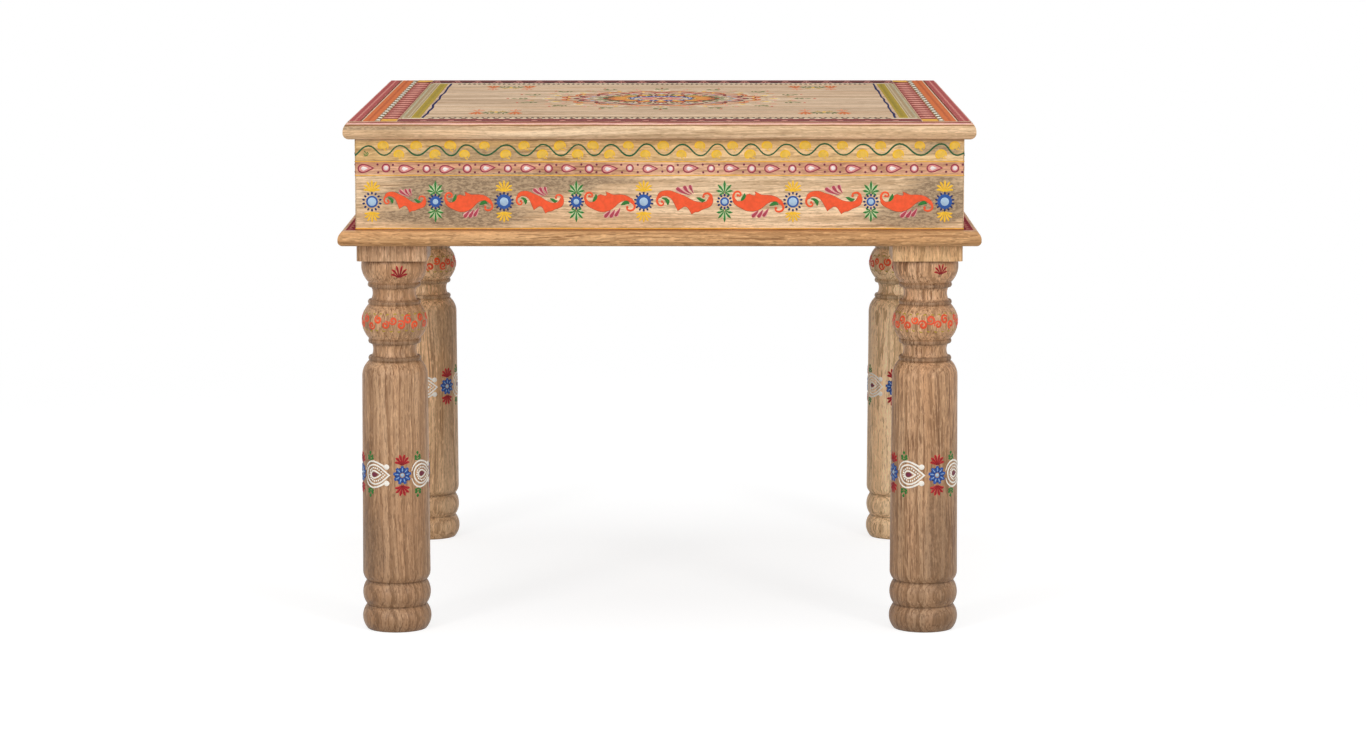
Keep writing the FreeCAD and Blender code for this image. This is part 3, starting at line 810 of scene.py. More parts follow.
def scroll(middle, body, spikes, curls, leaves, fan):
    """A swelling S with curled ends: filled, outlined, with leaves in its curls and a fan."""
    def placed(points):
        return [((x - middle[0]) / DRAWING_SCALE, (middle[1] - y) / DRAWING_SCALE) for x, y in points]

    def drawn(motif, colour, points, widths, share):
        return motif.line(colour, placed(points), [width / share for width in widths], steps=4)

    outline = placed(body)
    shape = Motif().fill("orange", outline, 0.42, 0.2, 2, spikes).loop("rust", outline, 0.95, 2, spikes)
    eye = Motif().drop("coral", 1.35, 0.9, 10)
    for points, widths in curls:
        drawn(shape, "orange", points, widths, 15.5)
        shape.lay(eye, *placed(points[-1:])[0])
    for points, widths in leaves:
        drawn(shape, "leaf", points, widths, 12.5)
    for points, widths in fan:
        shape.lay(drawn(Motif(), "blush", points, widths, 10.5), tall=0.4)
        drawn(shape, "berry", points, widths, 16)
    return shape


def medallion(ring, disc, dots, deep):
    """A raised pale disc in a blue ring, with a crown of small dots; deep ones have petals between."""
    bead = Motif().drop("sky", disc, 1.0, 20, 0.30)
    bead.loop("blue", circle_points(disc + 0.5, 10), 1.9)
    if deep:
        wide = ring - disc - 0.9
        bead.lay(Motif().loop("blue", circle_points(disc + 0.3 + wide / 2, 12), wide), tall=0.6)
    petal = Motif().upright("blue", (disc + 0.9, ring - 1.6, ring - 0.6), [1.4, 2.9 * ring / 8, 1.6])
    dot = Motif().drop("navy", 1.2, 0.7)
    for index in range(dots):
        angle = 2 * math.pi * index / dots
        if deep:
            bead.lay(petal, turn=-angle)
        bead.lay(dot, (ring + 0.3) * math.sin(angle), (ring + 0.3) * math.cos(angle), -angle, (0.9, 1.25))
    return bead


def shell():
    """A fat yellow comma with a curled head and two short rays."""
    body = [(4.2, 0.2), (2.4, 2.9), (-0.8, 3.4), (-3.6, 1.5), (-3.7, -1.4), (-1.2, -2.7), (2.2, -2.4)]
    form = Motif().fill("straw", body, 0.4, 0.25)
    form.line("yellow", [(4.3, -2.6), (4.7, 0.4), (2.6, 3.1), (-0.9, 3.5), (-3.7, 1.6), (-3.9, -1.6),
                         (-1.4, -2.8)], [0.9, 1.7, 2.3, 2.9, 3.2, 2.7, 1.3], steps=4)
    form.line("yellow", [(2.4, -0.4), (1.2, 1.3), (-0.8, 1.0), (-1.2, -0.7)], [0.9, 1.9, 2.0, 1.0])
    form.line("amber", [(1.9, 0.1), (0.6, 0.4), (-0.6, -0.6)], [0.4, 0.9, 0.4])
    for x, y in ((0.6, -2.3), (2.4, -2.9)):
        form.line("yellow", [(x, y), (x + 0.5, y - 1.2), (x + 1.4, y - 2.0)], [0.6, 1.2, 0.4])
    return form


def drop_gem():
    """A white drop laid sideways in a crimson outline, with a chalk stroke on it as a painted highlight."""
    outline = [(7.2, 0.1), (3.2, 2.1), (-1.5, 3.5), (-5.4, 2.6), (-6.8, -0.3), (-5.2, -3.0), (-1.5, -3.6),
               (3.0, -1.9)]
    gem = Motif().fill("rose", [(x * 0.88, y * 0.86) for x, y in outline], 0.4, 0.3, 3, (0,))
    gem.loop("crimson", outline, 1.35, 3, (0,))
    gem.line("pearl", [(-5.0, -0.4), (-2.2, -0.1), (1.2, 0.1), (4.6, 0.1)], [2.0, 5.0, 3.6, 0.6], steps=4)
    # Painted highlight: a raised chalk stroke across the pearl.
    return gem.line("chalk", [(-3.6, 0.7), (-1.6, 0.9), (0.8, 0.5)], [0.6, 1.3, 0.5], lift=0.9)


def round_gem():
    """A white bead in a crimson ring."""
    gem = Motif().drop("rose", 3.2, 0.7, 14, 0.4)
    gem.lay(Motif().drop("pearl", 2.1, 0.8, 10, 0.3), 0.1, 0.1, lift=0.5)
    return gem.loop("crimson", circle_points(3.5, 8), 1.4)


def eye_motif():
    """A drop lying on its side, drawn in white lines and dots, with two arms that end in blobs."""
    outline = [(14.6, 0), (8.4, 4.6), (1.0, 9.0), (-7.0, 9.6), (-13.4, 5.6), (-14.6, -0.8), (-11.6, -6.6),
               (-4.6, -9.8), (3.0, -8.4), (9.4, -4.2)]
    inner = [(4.6, 0.2), (0.2, 2.5), (-4.0, 3.8), (-7.8, 2.2), (-8.2, -1.6), (-4.6, -3.8), (0.0, -2.6)]
    eye = Motif().loop("chalk", outline, 1.9, 4, (0,)).loop("chalk", inner, 1.7, 3, (0,))
    eye.fill("plum", [(x * 0.62 - 1.6, y * 0.62) for x, y in inner], 0.4, 0.2, 3, (0,))
    dot = Motif().drop("chalk", 1.05, 0.6, 7)
    between = [(x * 0.69 - 0.6, y * 0.70) for x, y in outline]
    for (x, y), after in zip(between, between[1:] + between[:1]):
        eye.lay(dot, x, y)
        eye.lay(dot, (x + after[0]) / 2, (y + after[1]) / 2)
    blob = Motif().drop("chalk", 2.9, 1.1, 12)
    for side in (-1, 1):
        arm = [(9.6, side * 8.2), (5.0, side * 10.6), (-1.0, side * 12.8), (-8.6, side * 13.2),
               (-14.8, side * 9.6), (-17.8, side * 3.6)]
        eye.line("chalk", arm, [2.4, 2.2, 2.0, 1.8, 1.6, 0.8], steps=4)
        eye.lay(blob, 11.6, side * 8.4, 0, (1.15, 1.0))
    return eye


def blue_flower():
    """Round petals in two blues round a pale centre, with a pale blue stroke on each petal as a painted
    highlight.
    """
    flower = Motif().lay(Motif().loop("navy", circle_points(4.9, 10), 5.4), tall=0.25)
    flower.around(Motif().upright("blue", (0, 3.0, 6.2), [1.6, 4.3, 2.8]), 9, 2.6)
    # Painted highlight: a pale blue stroke along each petal.
    flower.around(Motif().upright("sky", (0, 1.6, 3.4), [0.4, 0.8, 0.3]), 9, 3.8, lift=0.9)
    return flower.drop("sky", 1.9, 1.0, 12, 0.3)


# Ornament of the box: heights and places across it, in millimetres

WAVE_LEVEL = 467.6
SHELL_RISE = 3.8
SHELL_DROP = 4.4
GEM_LEVEL = 450.0
SCROLL_LEVEL = 417.6
MEDALLION_LEVEL = 418.3
CRESTS = [-276.4, -246.5, -212.3, -184.1, -145.0, -110.2, -76.8, -46.4, -12.4, 21.8, 55.1, 87.0, 120.4,
          156.6, 193.8, 227.7, 268.3]
FIRST_GEM = -279.4
GEMS = 15
GEM_LINES = (456.4, 443.4)
MEDALLIONS = [-273.5, -213.1, -147.9, -79.2, -15.1, 61.8, 126.8, 201.0, 271.2]
DEEP_MEDALLIONS = (1, 2, 3, 4, 8)
SCROLLS = [(-242.2, 40.5, -4), (-181.4, 44.0, 4), (-113.8, 45.5, -2), (-47.2, 46.5, 3), (23.9, 54.0, 0),
           (94.0, 47.5, 0), (165.8, 54.0, 2), (235.0, 48.5, 2)]
ARCHED_WIDTH = 54.0
DIPPED_WIDTH = 47.5
END_GAP = 0.2


def hang_on_sides(motif, name):
    for side in SIDES:
        motif.hang(f"{name}_{side}", on_side(side))


def rule_across(motif, colour, height, width):
    """A thin line along the whole box."""
    motif.ruled(colour, (-APRON_FACE + END_GAP, height), (APRON_FACE - END_GAP, height), width, 24)


class BAJOT_OT_apron_wave(bpy.types.Operator):
    """Wavy green line with yellow shells, round the top of the box"""
    bl_idname = "bajot.apron_wave"
    bl_label = "Apron wave"

    def execute(self, context):
        relief = context.scene.bajot_relief
        stray = random.Random(11).uniform
        full = relief.wave_swing / MM / 2
        points = [(-APRON_FACE + 0.3, WAVE_LEVEL - full * 0.95)]
        band, comma = Motif(), shell()
        for index, crest in enumerate(CRESTS):
            swing = full * min(1.0, 0.80 + (crest + APRON_FACE) / 700)
            middle = WAVE_LEVEL + crest * 0.002
            points.append((crest, middle + swing * stray(0.90, 1.02)))
            after = CRESTS[index + 1] if index + 1 < len(CRESTS) else APRON_FACE + 6
            trough = (crest + after) / 2 + stray(-1, 1)
            if trough < APRON_FACE - 1:
                points.append((trough, middle - swing * stray(0.92, 1.02)))
                band.lay(comma, trough - 1, WAVE_LEVEL + SHELL_RISE, stray(-0.3, 0.2), stray(0.92, 1.06))
            if index:
                band.lay(comma, crest - 1, WAVE_LEVEL - SHELL_DROP, stray(-0.25, 0.25), stray(0.9, 1.05))
        points.append((APRON_FACE - 0.3, WAVE_LEVEL - swing * 0.55))
        widths = [relief.wave_width / MM * stray(0.9, 1.15) for _ in points]
        band.line("stem", points, widths, steps=8)
        band.lay(fern("leaf", 6.0, 1.4), -277.5, WAVE_LEVEL - 6.0, 0.5)
        hang_on_sides(band, "wave_band")
        return {"FINISHED"}


class BAJOT_OT_apron_gems(bpy.types.Operator):
    """Row of white drops and rounds in crimson, between two thin lines"""
    bl_idname = "bajot.apron_gems"
    bl_label = "Apron gems"

    def execute(self, context):
        relief = context.scene.bajot_relief
        stray = random.Random(5).uniform
        row, drop, button = Motif(), drop_gem(), round_gem()
        dot = Motif().drop("plum", 1.15, 0.6)
        for index in range(GEMS):
            here = FIRST_GEM + relief.gem_pitch / MM * index
            row.lay(drop, here, GEM_LEVEL - 0.1 + stray(-0.5, 0.5), stray(-0.06, 0.06), stray(0.94, 1.04))
            if here + 19.5 < APRON_FACE - 3:
                row.lay(button, here + 19.5, GEM_LEVEL + stray(-0.4, 0.4), 0, stray(0.92, 1.05))
            for gap, up in ((11.6, -3.4), (11.6, 3.4), (26.6, -3.4), (26.6, 3.4)):
                if here + gap < APRON_FACE - 1:
                    row.lay(dot, here + gap + stray(-0.6, 0.6), GEM_LEVEL + up + stray(-0.4, 0.4))
        for height in GEM_LINES:
            rule_across(row, "amber", height, relief.line_width / MM)
        hang_on_sides(row, "gem_band")
        return {"FINISHED"}


class BAJOT_OT_apron_scrolls(bpy.types.Operator):
    """Eight orange scrolls, arched and dipped by turns"""
    bl_idname = "bajot.apron_scrolls"
    bl_label = "Apron scrolls"

    def execute(self, context):
        arched, dipped = scroll(**ARCHED), scroll(**DIPPED)
        row = Motif()
        for index, (across, width, tilt) in enumerate(SCROLLS):
            form, own, lift = (dipped, DIPPED_WIDTH, 0.6) if index % 2 else (arched, ARCHED_WIDTH, 0)
            share = width / own
            row.lay(form, across, SCROLL_LEVEL + lift, math.radians(tilt), (share, min(1.0, share * 1.08)))
        hang_on_sides(row, "scroll_band")
        return {"FINISHED"}


class BAJOT_OT_apron_medallions(bpy.types.Operator):
    """Blue medallions with yellow fans or green ferns above and below"""
    bl_idname = "bajot.apron_medallions"
    bl_label = "Apron medallions"

    def execute(self, context):
        large = [medallion(7.8, 4.3, 14, deep) for deep in (False, True)]
        small = [medallion(6.0, 2.9, 12, deep) for deep in (False, True)]
        fan, leaves = palmette("yellow", 7, 11.8, 2.6, 74), leaf_fan("leaf", 12.6, 2.8, "mint")
        row = Motif()
        for index, across in enumerate(MEDALLIONS):
            beads, spray, above, below, size = (
                (small, leaves, 7.4, 7.6, 0.95) if index % 2 else (large, fan, 9.2, 9.4, 0.92))
            row.lay(beads[index in DEEP_MEDALLIONS], across, MEDALLION_LEVEL)
            row.lay(spray, across, MEDALLION_LEVEL + above)
            row.lay(spray, across, MEDALLION_LEVEL - below, math.pi, size)
        for colour, foot in (("umber", 0.45), ("amber", 1.7)):
            rule_across(row, colour, APRON_BOTTOM + foot, context.scene.bajot_relief.line_width / MM)
        hang_on_sides(row, "medallion_band")
        return {"FINISHED"}


class BAJOT_OT_ledge_bands(bpy.types.Operator):
    """Crimson band with rose petals on the left and right ledges of the lower frame"""
    bl_idname = "bajot.ledge_bands"
    bl_label = "Ledge bands"

    def execute(self, context):
        inner, outer = APRON_FACE + 0.4, APRON_FACE + 9.4
        pitch = 10.4
        petal = Motif().line("rose", [(-3.2, -2.6), (-0.4, 0.8), (3.2, 3.0)], [0.8, 2.8, 0.7])
        dot = Motif().drop("maroon", 1.1, 0.6)
        band = Motif()
        for side in (-1, 1):
            left, right = sorted((side * inner, side * outer))
            band.wash("crimson", left, right, -APRON_FACE, APRON_FACE)
            for index in range(-27, 28):
                band.lay(petal, side * (inner + 4.6), index * pitch, 0.2 if index % 2 else 1.2)
                band.lay(dot, side * (inner + 4.6), (index + 0.5) * pitch)
            band.ruled("rose", (side * outer, -APRON_FACE), (side * outer, APRON_FACE), 0.9, 24)
        band.hang("ledge_bands", lying_at(APRON_BOTTOM), 0.1)
        return {"FINISHED"}


# Ornament of the top: places in millimetres from the table's middle, reaches as (front end, back end)

OUTER = (-292.0, 292.0)
MIDDLE = (-261.6, 261.6)
INNER = (-253.4, 237.6)
INNER_LINE = (-253.0, 237.0)
CRIMSON_BAND = (249.6, 264.6)
END_BANDS = (
    ("berry", 284.8, 294.2, OUTER), ("brick", 270.6, 281.6, OUTER), ("sand", 265.2, 270.2, OUTER),
    ("crimson", *CRIMSON_BAND, MIDDLE), ("sand", 239.2, 248.8, INNER), ("olive", 229.8, 238.6, INNER),
    ("maroon", 282.6, 284.6, OUTER))
CORNER_BLOCK = (262.0, 293.4)
BLOCK_LINES = (264.5, 291.5)
END_LINES_AND_PAINTED_LIGHT = (
    # In the end lines, the blush line at 296.7 mm is a painted highlight on the crown of the moulded edge,
    # and the umber line at 298.1 mm a painted shadow below it.
    ("rose", 295.2, 1.6, OUTER), ("blush", 296.7, 1.3, OUTER), ("umber", 298.1, 0.8, OUTER),
    ("blush", 284.4, 0.9, OUTER), ("oat", 282.2, 1.1, OUTER), ("rust", 270.2, 0.8, OUTER),
    ("rust", 264.9, 0.8, OUTER), ("oat", 238.9, 0.7, INNER_LINE))
# Along the front and back edges too: blush at 296.9 mm is a painted highlight, umber at 298.2 mm a painted
# shadow.
EDGE_LINES_AND_PAINTED_LIGHT = (("maroon", 295.4, 1.5, 294.9), ("blush", 296.9, 1.3, 296.6), ("umber", 298.2, 0.8, 297.9))
NAVY_LINE, LEAVES, LOW_BUDS, BUDS, PETALS, BIG_BUDS, RUST_DOTS, ROSE_DOTS = (
    226.4, 234.2, 241.4, 246.3, 257.1, 267.7, 276.1, 289.1)
BORDER_HALF = 248.9
FRONT_BAND = (-294.2, -264.0)
BACK_BAND = (243.0, 294.2)
MANDALA_BACK = 12
SPRIG_ACROSS = 160
SPRIG_ALONG = 174
FADED = 0.17
MORE_FADED = 0.2


class BAJOT_OT_top_stripes(bpy.types.Operator):
    """Painted stripes along the left and right ends of the top"""
    bl_idname = "bajot.top_stripes"
    bl_label = "Top end stripes"

    def execute(self, context):
        rose_dot, rust_dot = Motif().drop("rose", 1.7, 0.6), Motif().drop("rust", 1.7, 0.7)
        white_bud = Motif().upright("oat", (-3.6, 0, 3.6), [1.4, 3.0, 1.2])
        white_bud.line("umber", [(-2.3, -5.4), (-2.2, 0), (-1.4, 5.0)], [0.7, 1.0, 0.6])
        green_bud = Motif().line("moss", [(-1.6, -3.4), (0, 0), (1.6, 3.4)], [0.9, 2.6, 0.9])
        big_bud = Motif().line("chalk", [(-0.5, -7.0), (0, 0), (0.5, 7.0)], [2.4, 4.6, 2.4])
        big_bud.line("ink", [(-2.2, 8.4), (0, 13.6), (1.6, 19.6)], [1.6, 3.2, 1.6])
        petal = Motif().line("rose", [(-7.0, 0), (-2.5, 0.5), (2.5, 0.5), (7.0, 0)], [3.6, 10.0, 10.0, 3.6])
        petal.line("blush", [(-4.6, -2.5), (0, -2.1), (4.6, -2.5)], [1.0, 3.0, 1.0], lift=1.5)
        petal.line("maroon", [(-7.4, 14.2), (0, 14.6), (7.4, 14.2)], [5.4, 8.6, 5.4])
        leaf = Motif().line("olive", [(-3.6, -8.5), (-1.2, -1.0), (3.8, 8.5)], [1.8, 6.0, 1.2], steps=4)
        vein = Motif().line("moss", [(-2.4, -5.5), (-0.6, -0.5), (2.4, 5.5)], [0.4, 0.8, 0.3])
        ends = Motif()
        for side in (-1, 1):
            for colour, near, far, reach in END_BANDS:
                ends.wash(colour, *sorted((side * near, side * far)), *reach)
            left, right = sorted((side * CRIMSON_BAND[0], side * CRIMSON_BAND[1]))
            for block in (-1, 1):
                ends.wash("amber", left, right, *sorted(block * end for end in CORNER_BLOCK))
                for along in BLOCK_LINES:
                    ends.ruled("umber", (left, block * along), (right, block * along), 2.2, 3)
            for colour, across, width, (front, back) in END_LINES_AND_PAINTED_LIGHT:
                ends.ruled(colour, (side * across, front), (side * across, back), width, 30)
            front, back = INNER_LINE
            ends.ruled("navy", (side * NAVY_LINE, front), (side * NAVY_LINE, back), 2.5, 17, 0.9)
            for index in range(-14, 15):
                ends.lay(rose_dot, side * ROSE_DOTS, index * 20.6, 0, (1, 1.9))
                ends.lay(rose_dot, side * ROSE_DOTS, (index + 0.5) * 20.6, 0, (0.7, 1.2))
            for index in range(-10, 10):
                ends.lay(big_bud, side * BIG_BUDS, (index + 0.25) * 28.4, 0, (side, 1.0))
            for index in range(-17, 17):
                spot, next_spot = index * 14.2, (index + 0.5) * 14.2
                ends.lay(white_bud, side * BUDS, spot, 0, (1.1, 1.0))
                ends.lay(green_bud, side * BUDS, next_spot, 0, 0.8)
                ends.lay(white_bud, side * LOW_BUDS, next_spot, 0, (0.8, 0.7))
            for index in range(-9, 9):
                ends.lay(petal, side * PETALS, (index + 0.25) * 28.4)
            turn = 0 if side > 0 else math.pi
            for index in range(-20, 20):
                ends.lay(leaf, side * LEAVES, index * 11.7, turn, tall=0.6)
                ends.lay(vein, side * LEAVES, index * 11.7, turn, lift=1.3)
            for index in range(-28, 29):
                ends.lay(rust_dot, side * RUST_DOTS, index * 10.3, 0, (1, 1.5), lift=0.1)
        ends.hang("top_end_stripes", on_top(), FADED)
        return {"FINISHED"}


class BAJOT_OT_top_borders(bpy.types.Operator):
    """Plum bands with scallops or tufts and a fringe, along the front and back of the top"""
    bl_idname = "bajot.top_borders"
    bl_label = "Top borders"

    def execute(self, context):
        scallop = Motif().arch("berry", [(12.6, 0), (9.5, -4.0), (0, -6.4)], [1.2, 2.2, 2.8])
        scallop.lay(palmette("rose", 3, 7.0, 1.6, 40), 0, -8.6)
        tuft = Motif().arch("ink", [(10.6, 0), (7.6, 8), (0, 13)], [2.4, 4.4, 5.4])
        tuft.lay(palmette("rose", 3, 12.0, 2.6, 40), 0, -2.0)
        knot = Motif().drop("rose", 1.7, 0.7)
        fringe = Motif().upright("ink", (-5.0, 0, 5.0), [2.2, 3.2, 1.8])
        tooth = Motif().upright("maroon", (-1.0, 2, 5), [7.0, 5.4, 1.6])
        border = Motif().wash("plum", -BORDER_HALF, BORDER_HALF, *FRONT_BAND)
        for index in range(-9, 10):
            border.lay(scallop, index * 26.4, -273.0)
            if index < 9:
                border.lay(knot, (index + 0.5) * 26.4, -284.5, 0, (2.2, 1.2))
        for index in range(-21, 22):
            border.lay(tooth, index * 10.4, FRONT_BAND[1])
        for index in range(-41, 42):
            border.lay(fringe, index * 5.3, -248.6)
        self.rule(border, -1, ("oat", 257.4, 4.4, 246.5), ("maroon", 266.6, 3.6, 246.5))
        border.wash("plum", -BORDER_HALF, BORDER_HALF, *BACK_BAND)
        for index in range(-11, 12):
            border.lay(tuft, index * 22.2, 254.0)
            border.lay(knot, index * 22.2, 277.0, 0, (2.4, 2.6))
        for index in range(-41, 42):
            border.lay(fringe, index * 5.3, 232.0)
        self.rule(border, 1, ("oat", 240.0, 3.0, 246.5), ("maroon", 285.0, 3.0, 246.5))
        border.hang("top_borders", on_top(), FADED)
        return {"FINISHED"}

    def rule(self, border, side, *own):
        """The border's own lines, and the three along the moulded edge: a maroon line, a blush painted
        highlight and an umber painted shadow.
        """
        for colour, along, width, reach in (*own, *EDGE_LINES_AND_PAINTED_LIGHT):
            border.ruled(colour, (-reach, side * along), (reach, side * along), width, 40)


class BAJOT_OT_top_mandala(bpy.types.Operator):
    """Round flower in the middle of the top, built from rings of strokes"""
    bl_idname = "bajot.top_mandala"
    bl_label = "Top mandala"

    def execute(self, context):
        flower = Motif().drop("crimson", 5.0, 1.2, 20, 0.3)
        flower.loop("yellow", circle_points(6.4, 12), 1.2)
        self.inner_rings(flower)
        self.leaf_rings(flower)
        self.scallop_rings(flower)
        self.outer_rings(flower)
        Motif().lay(flower, 0, MANDALA_BACK).hang("top_mandala", lying_at(TOP_FACE), MORE_FADED)
        return {"FINISHED"}

    def inner_rings(self, flower):
        petal = Motif().upright("rose", (0, 5, 11, 14), [1.2, 4.4, 5.6, 1.4])
        petal.upright("crimson", (3, 8, 12), [0.6, 1.6, 0.5], lift=1.2)
        flower.around(petal, 12, 8.0)
        flower.around(Motif().upright("moss", (0, 3.2, 6.4), [0.6, 1.8, 0.5]), 12, 18.5, math.pi / 12)
        flower.loop("blue", circle_points(30.0, 24), 4.4)
        flower.loop("navy", circle_points(33.2, 24), 1.3)
        flower.around(Motif().drop("chalk", 1.3, 0.7), 24, 30.0, lift=0.9)
        tongue = Motif().upright("brick", (0, 6, 14, 20), [6.0, 11.6, 9.6, 2.0], steps=4)
        tongue.upright("straw", (-1, 5, 12, 16), [4.0, 8.0, 5.4, 1.2], lift=1.9)
        for side in (-1, 1):
            tongue.line("maroon", [(side * 4.2, 0), (side * 6.6, 6), (side * 5.8, 14), (0, 21.4)],
                        [1.6, 2.5, 2.3, 1.2], steps=4)
        tongue.lay(Motif().drop("red", 2.0, 0.8), 0, 22.0)
        flower.around(tongue, 16, 35.6)

    def leaf_rings(self, flower):
        spear = Motif().upright("moss", (0, 8, 16, 21), [0.8, 3.0, 3.4, 0.6], steps=4)
        flower.around(spear, 16, 48.0, math.pi / 16)
        feather = Motif().upright("oat", (0, 5, 12), [0.8, 3.2, 0.8])
        for side in (-1, 1):
            feather.line("maroon", [(side * 2.2, 0), (side * 3.0, 6), (side * 1.2, 13)], [0.5, 1.2, 0.5])
        flower.around(feather, 16, 61.0)
        dash = Motif().line("ink", [(0, 0), (0.4, 3.5), (0, 7)], [0.9, 2.6, 0.8])
        flower.around(dash, 32, 53.0, math.pi / 32)
        flower.around(dash, 32, 69.0, math.pi / 32)
        flower.around(dash, 16, 84.0, 0, 0.8)
        pair = Motif()
        for side in (1, -1):
            pair.line("stem", [(0, 0), (side * 2.4, 4.4), (side * 6.2, 7.6)], [0.5, 2.0, 0.4])
        flower.around(pair, 16, 58.5)

    def scallop_rings(self, flower):
        arc = Motif().arch("crimson", [(15.0, -5.5), (9.0, 2.0), (0, 5.5)], [1.2, 3.2, 4.4])
        arc.arch("rose", [(11.5, -6.5), (6.5, -2.0), (0, 0.2)], [0.8, 1.8, 2.4])
        arc.arch("ink", [(15.0, -3.6), (9.0, 4.4), (0, 8.2)], [0.9, 1.7, 2.2])
        arc.lay(palmette("sky", 3, 6.0, 1.9, 34), 0, -8.4)
        flower.around(arc, 16, 80.5)
        outer = Motif().arch("brick", [(18.0, -6.0), (11.0, 2.4), (0, 6.2)], [1.2, 2.8, 3.8])
        outer.arch("maroon", [(17.0, -9.0), (10.4, -1.0), (0, 2.6)], [0.8, 1.6, 2.2])
        outer.lay(Motif().drop("yellow", 1.9, 0.8, 10), 0, 0.8)
        flower.around(outer, 16, 95.5, math.pi / 16)

    def outer_rings(self, flower):
        winding = spiral("oat", 4.6, 1.2, 1.5)
        curl = Motif().lay(winding, -5.4, 5.0, 0.4).lay(winding, 5.4, 5.0, math.pi - 0.4, 1.0, True)
        curl.upright("yellow", (-2, 3.5, 9), [0.8, 3.0, 0.6])
        flower.around(curl, 16, 112.0)
        flower.around(Motif().drop("rose", 2.0, 0.8, 10), 16, 118.0, math.pi / 16)
        thorn = Motif().line("umber", [(-4.0, 0), (0, 2.6), (4.0, 0)], [0.6, 1.3, 0.6])
        flower.around(thorn, 32, 106.0, math.pi / 32)
        sprig = fern("moss", 19.0, 3.0).lay(Motif().drop("red", 1.5, 0.8), 0, 22.5)
        flower.around(sprig, 16, 134.0)
        bud = Motif().upright("rose", (0, 4, 9), [1.0, 3.6, 0.8])
        for side in (-1, 1):
            bud.line("olive", [(side * 0.6, -0.6), (side * 3.4, 2.0), (side * 4.6, 6.0)], [0.6, 1.8, 0.5])
        flower.around(bud, 16, 132.0, math.pi / 16)


class BAJOT_OT_top_sprigs(bpy.types.Operator):
    """Small red and green sprigs between the mandala and the corners"""
    bl_idname = "bajot.top_sprigs"
    bl_label = "Top corner sprigs"

    def execute(self, context):
        spray = Motif()
        for side in (-1, 1):
            spray.lay(palmette("brick", 5, 26.0, 3.4, 28), side * 23, -2)
            spray.lay(palmette("salmon", 3, 23.0, 3.6, 24), side * 22, -4, math.pi)
            spray.lay(leaf_fan("moss", 15.0, 2.4), side * 8.0, 4, -side * 0.12)
            spray.lay(palmette("olive", 3, 11.0, 2.0, 28), side * 7, -2, math.pi)
        spray.drop("yellow", 2.6, 0.9, 10)
        corners = Motif()
        for x in (-SPRIG_ACROSS, SPRIG_ACROSS):
            for y in (-SPRIG_ALONG, SPRIG_ALONG):
                corners.lay(spray, x, y, 0 if y > 0 else math.pi, (0.82, 1.4))
        corners.hang("top_corner_sprigs", lying_at(TOP_FACE), MORE_FADED)
        return {"FINISHED"}


# Ornament of the legs: turns in degrees, the place of the red fans as (aside, height, size)

LEG_TURNS = {"front_left": 15, "front_right": 20, "back_right": -10, "back_left": -46}
FAN_PLACE = (-1.0, 344.6, 1.0)
FRONT_RIGHT_FAN_PLACE = (2.6, 347.6, 0.86)
CURL_LEVEL = 301.2
CURLS = 26
BACK_RING_RISE = 13.5


class BAJOT_OT_leg_motifs(bpy.types.Operator):
    """Red palmettes, a band of curls and a ring of eyes and flowers on each leg"""
    bl_idname = "bajot.leg_motifs"
    bl_label = "Leg motifs"

    def execute(self, context):
        round_about = 2 * math.pi * LEG_RADIUS
        fan = palmette("red", 6, 13.0, 2.6, 66)
        bloom = palmette("red", 6, 11.2, 3.0, 66)
        core = palmette("maroon", 6, 10.4, 0.9, 62)
        bloom.lay(core, lift=0.8)
        fan.lay(core, size=1.14, lift=0.8)
        leaf = fern("leaf", 9.5, 3.3)
        eye, flower = eye_motif(), blue_flower()
        curls = [spiral("coral", 4.3, 1.35, 2.5), spiral("orange", 3.9, 1.35, 2.4)]
        tick = Motif().line("olive", [(-1.8, 0), (0, 1.0), (2.0, 0.4)], [0.5, 1.5, 0.5])
        for corner, facing in LEG_TURNS.items():
            stray = random.Random(corner).uniform
            drawing = Motif()
            aside, fan_level, fan_size = FRONT_RIGHT_FAN_PLACE if corner == "front_right" else FAN_PLACE
            for index in range(3):
                drawing.lay(fan, round_about * index / 3 + aside, fan_level, 0, fan_size)
            for index in range(CURLS):
                across = round_about * index / CURLS
                up = CURL_LEVEL + (3.2 if index % 2 else -2.4) + stray(-0.9, 0.9)
                turn, size = stray(0, 6.28), stray(0.9, 1.1)
                drawing.lay(curls[index % 3 == 2], across, up, turn, size, index % 2 == 0)
                drawing.lay(tick, across + 2, CURL_LEVEL + 7.4 + stray(-0.6, 0.6), stray(-0.4, 0.4))
                drawing.lay(tick, across - 2, CURL_LEVEL - 7.2 + stray(-0.6, 0.6), stray(-0.4, 0.4),
                            flip=True)
            height = context.scene.bajot_relief.ring_height / MM + (BACK_RING_RISE if "back" in corner else 0)
            for index in range(4):
                across = round_about * index / 4
                before = across - round_about / 8
                drawing.lay(flower, across, height)
                drawing.lay(bloom, across, height + 9.6)
                drawing.lay(bloom, across, height - 9.6, math.pi)
                drawing.lay(eye, before - 0.2, height, 0, (0.86, 0.94))
                drawing.lay(leaf, before - 8.0, height + 13.0, 0.1)
                drawing.lay(leaf, before - 8.0, height - 13.0, math.pi - 0.1)
            drawing.hang(f"leg_motifs_{corner}", round_leg(corner, facing))
        return {"FINISHED"}
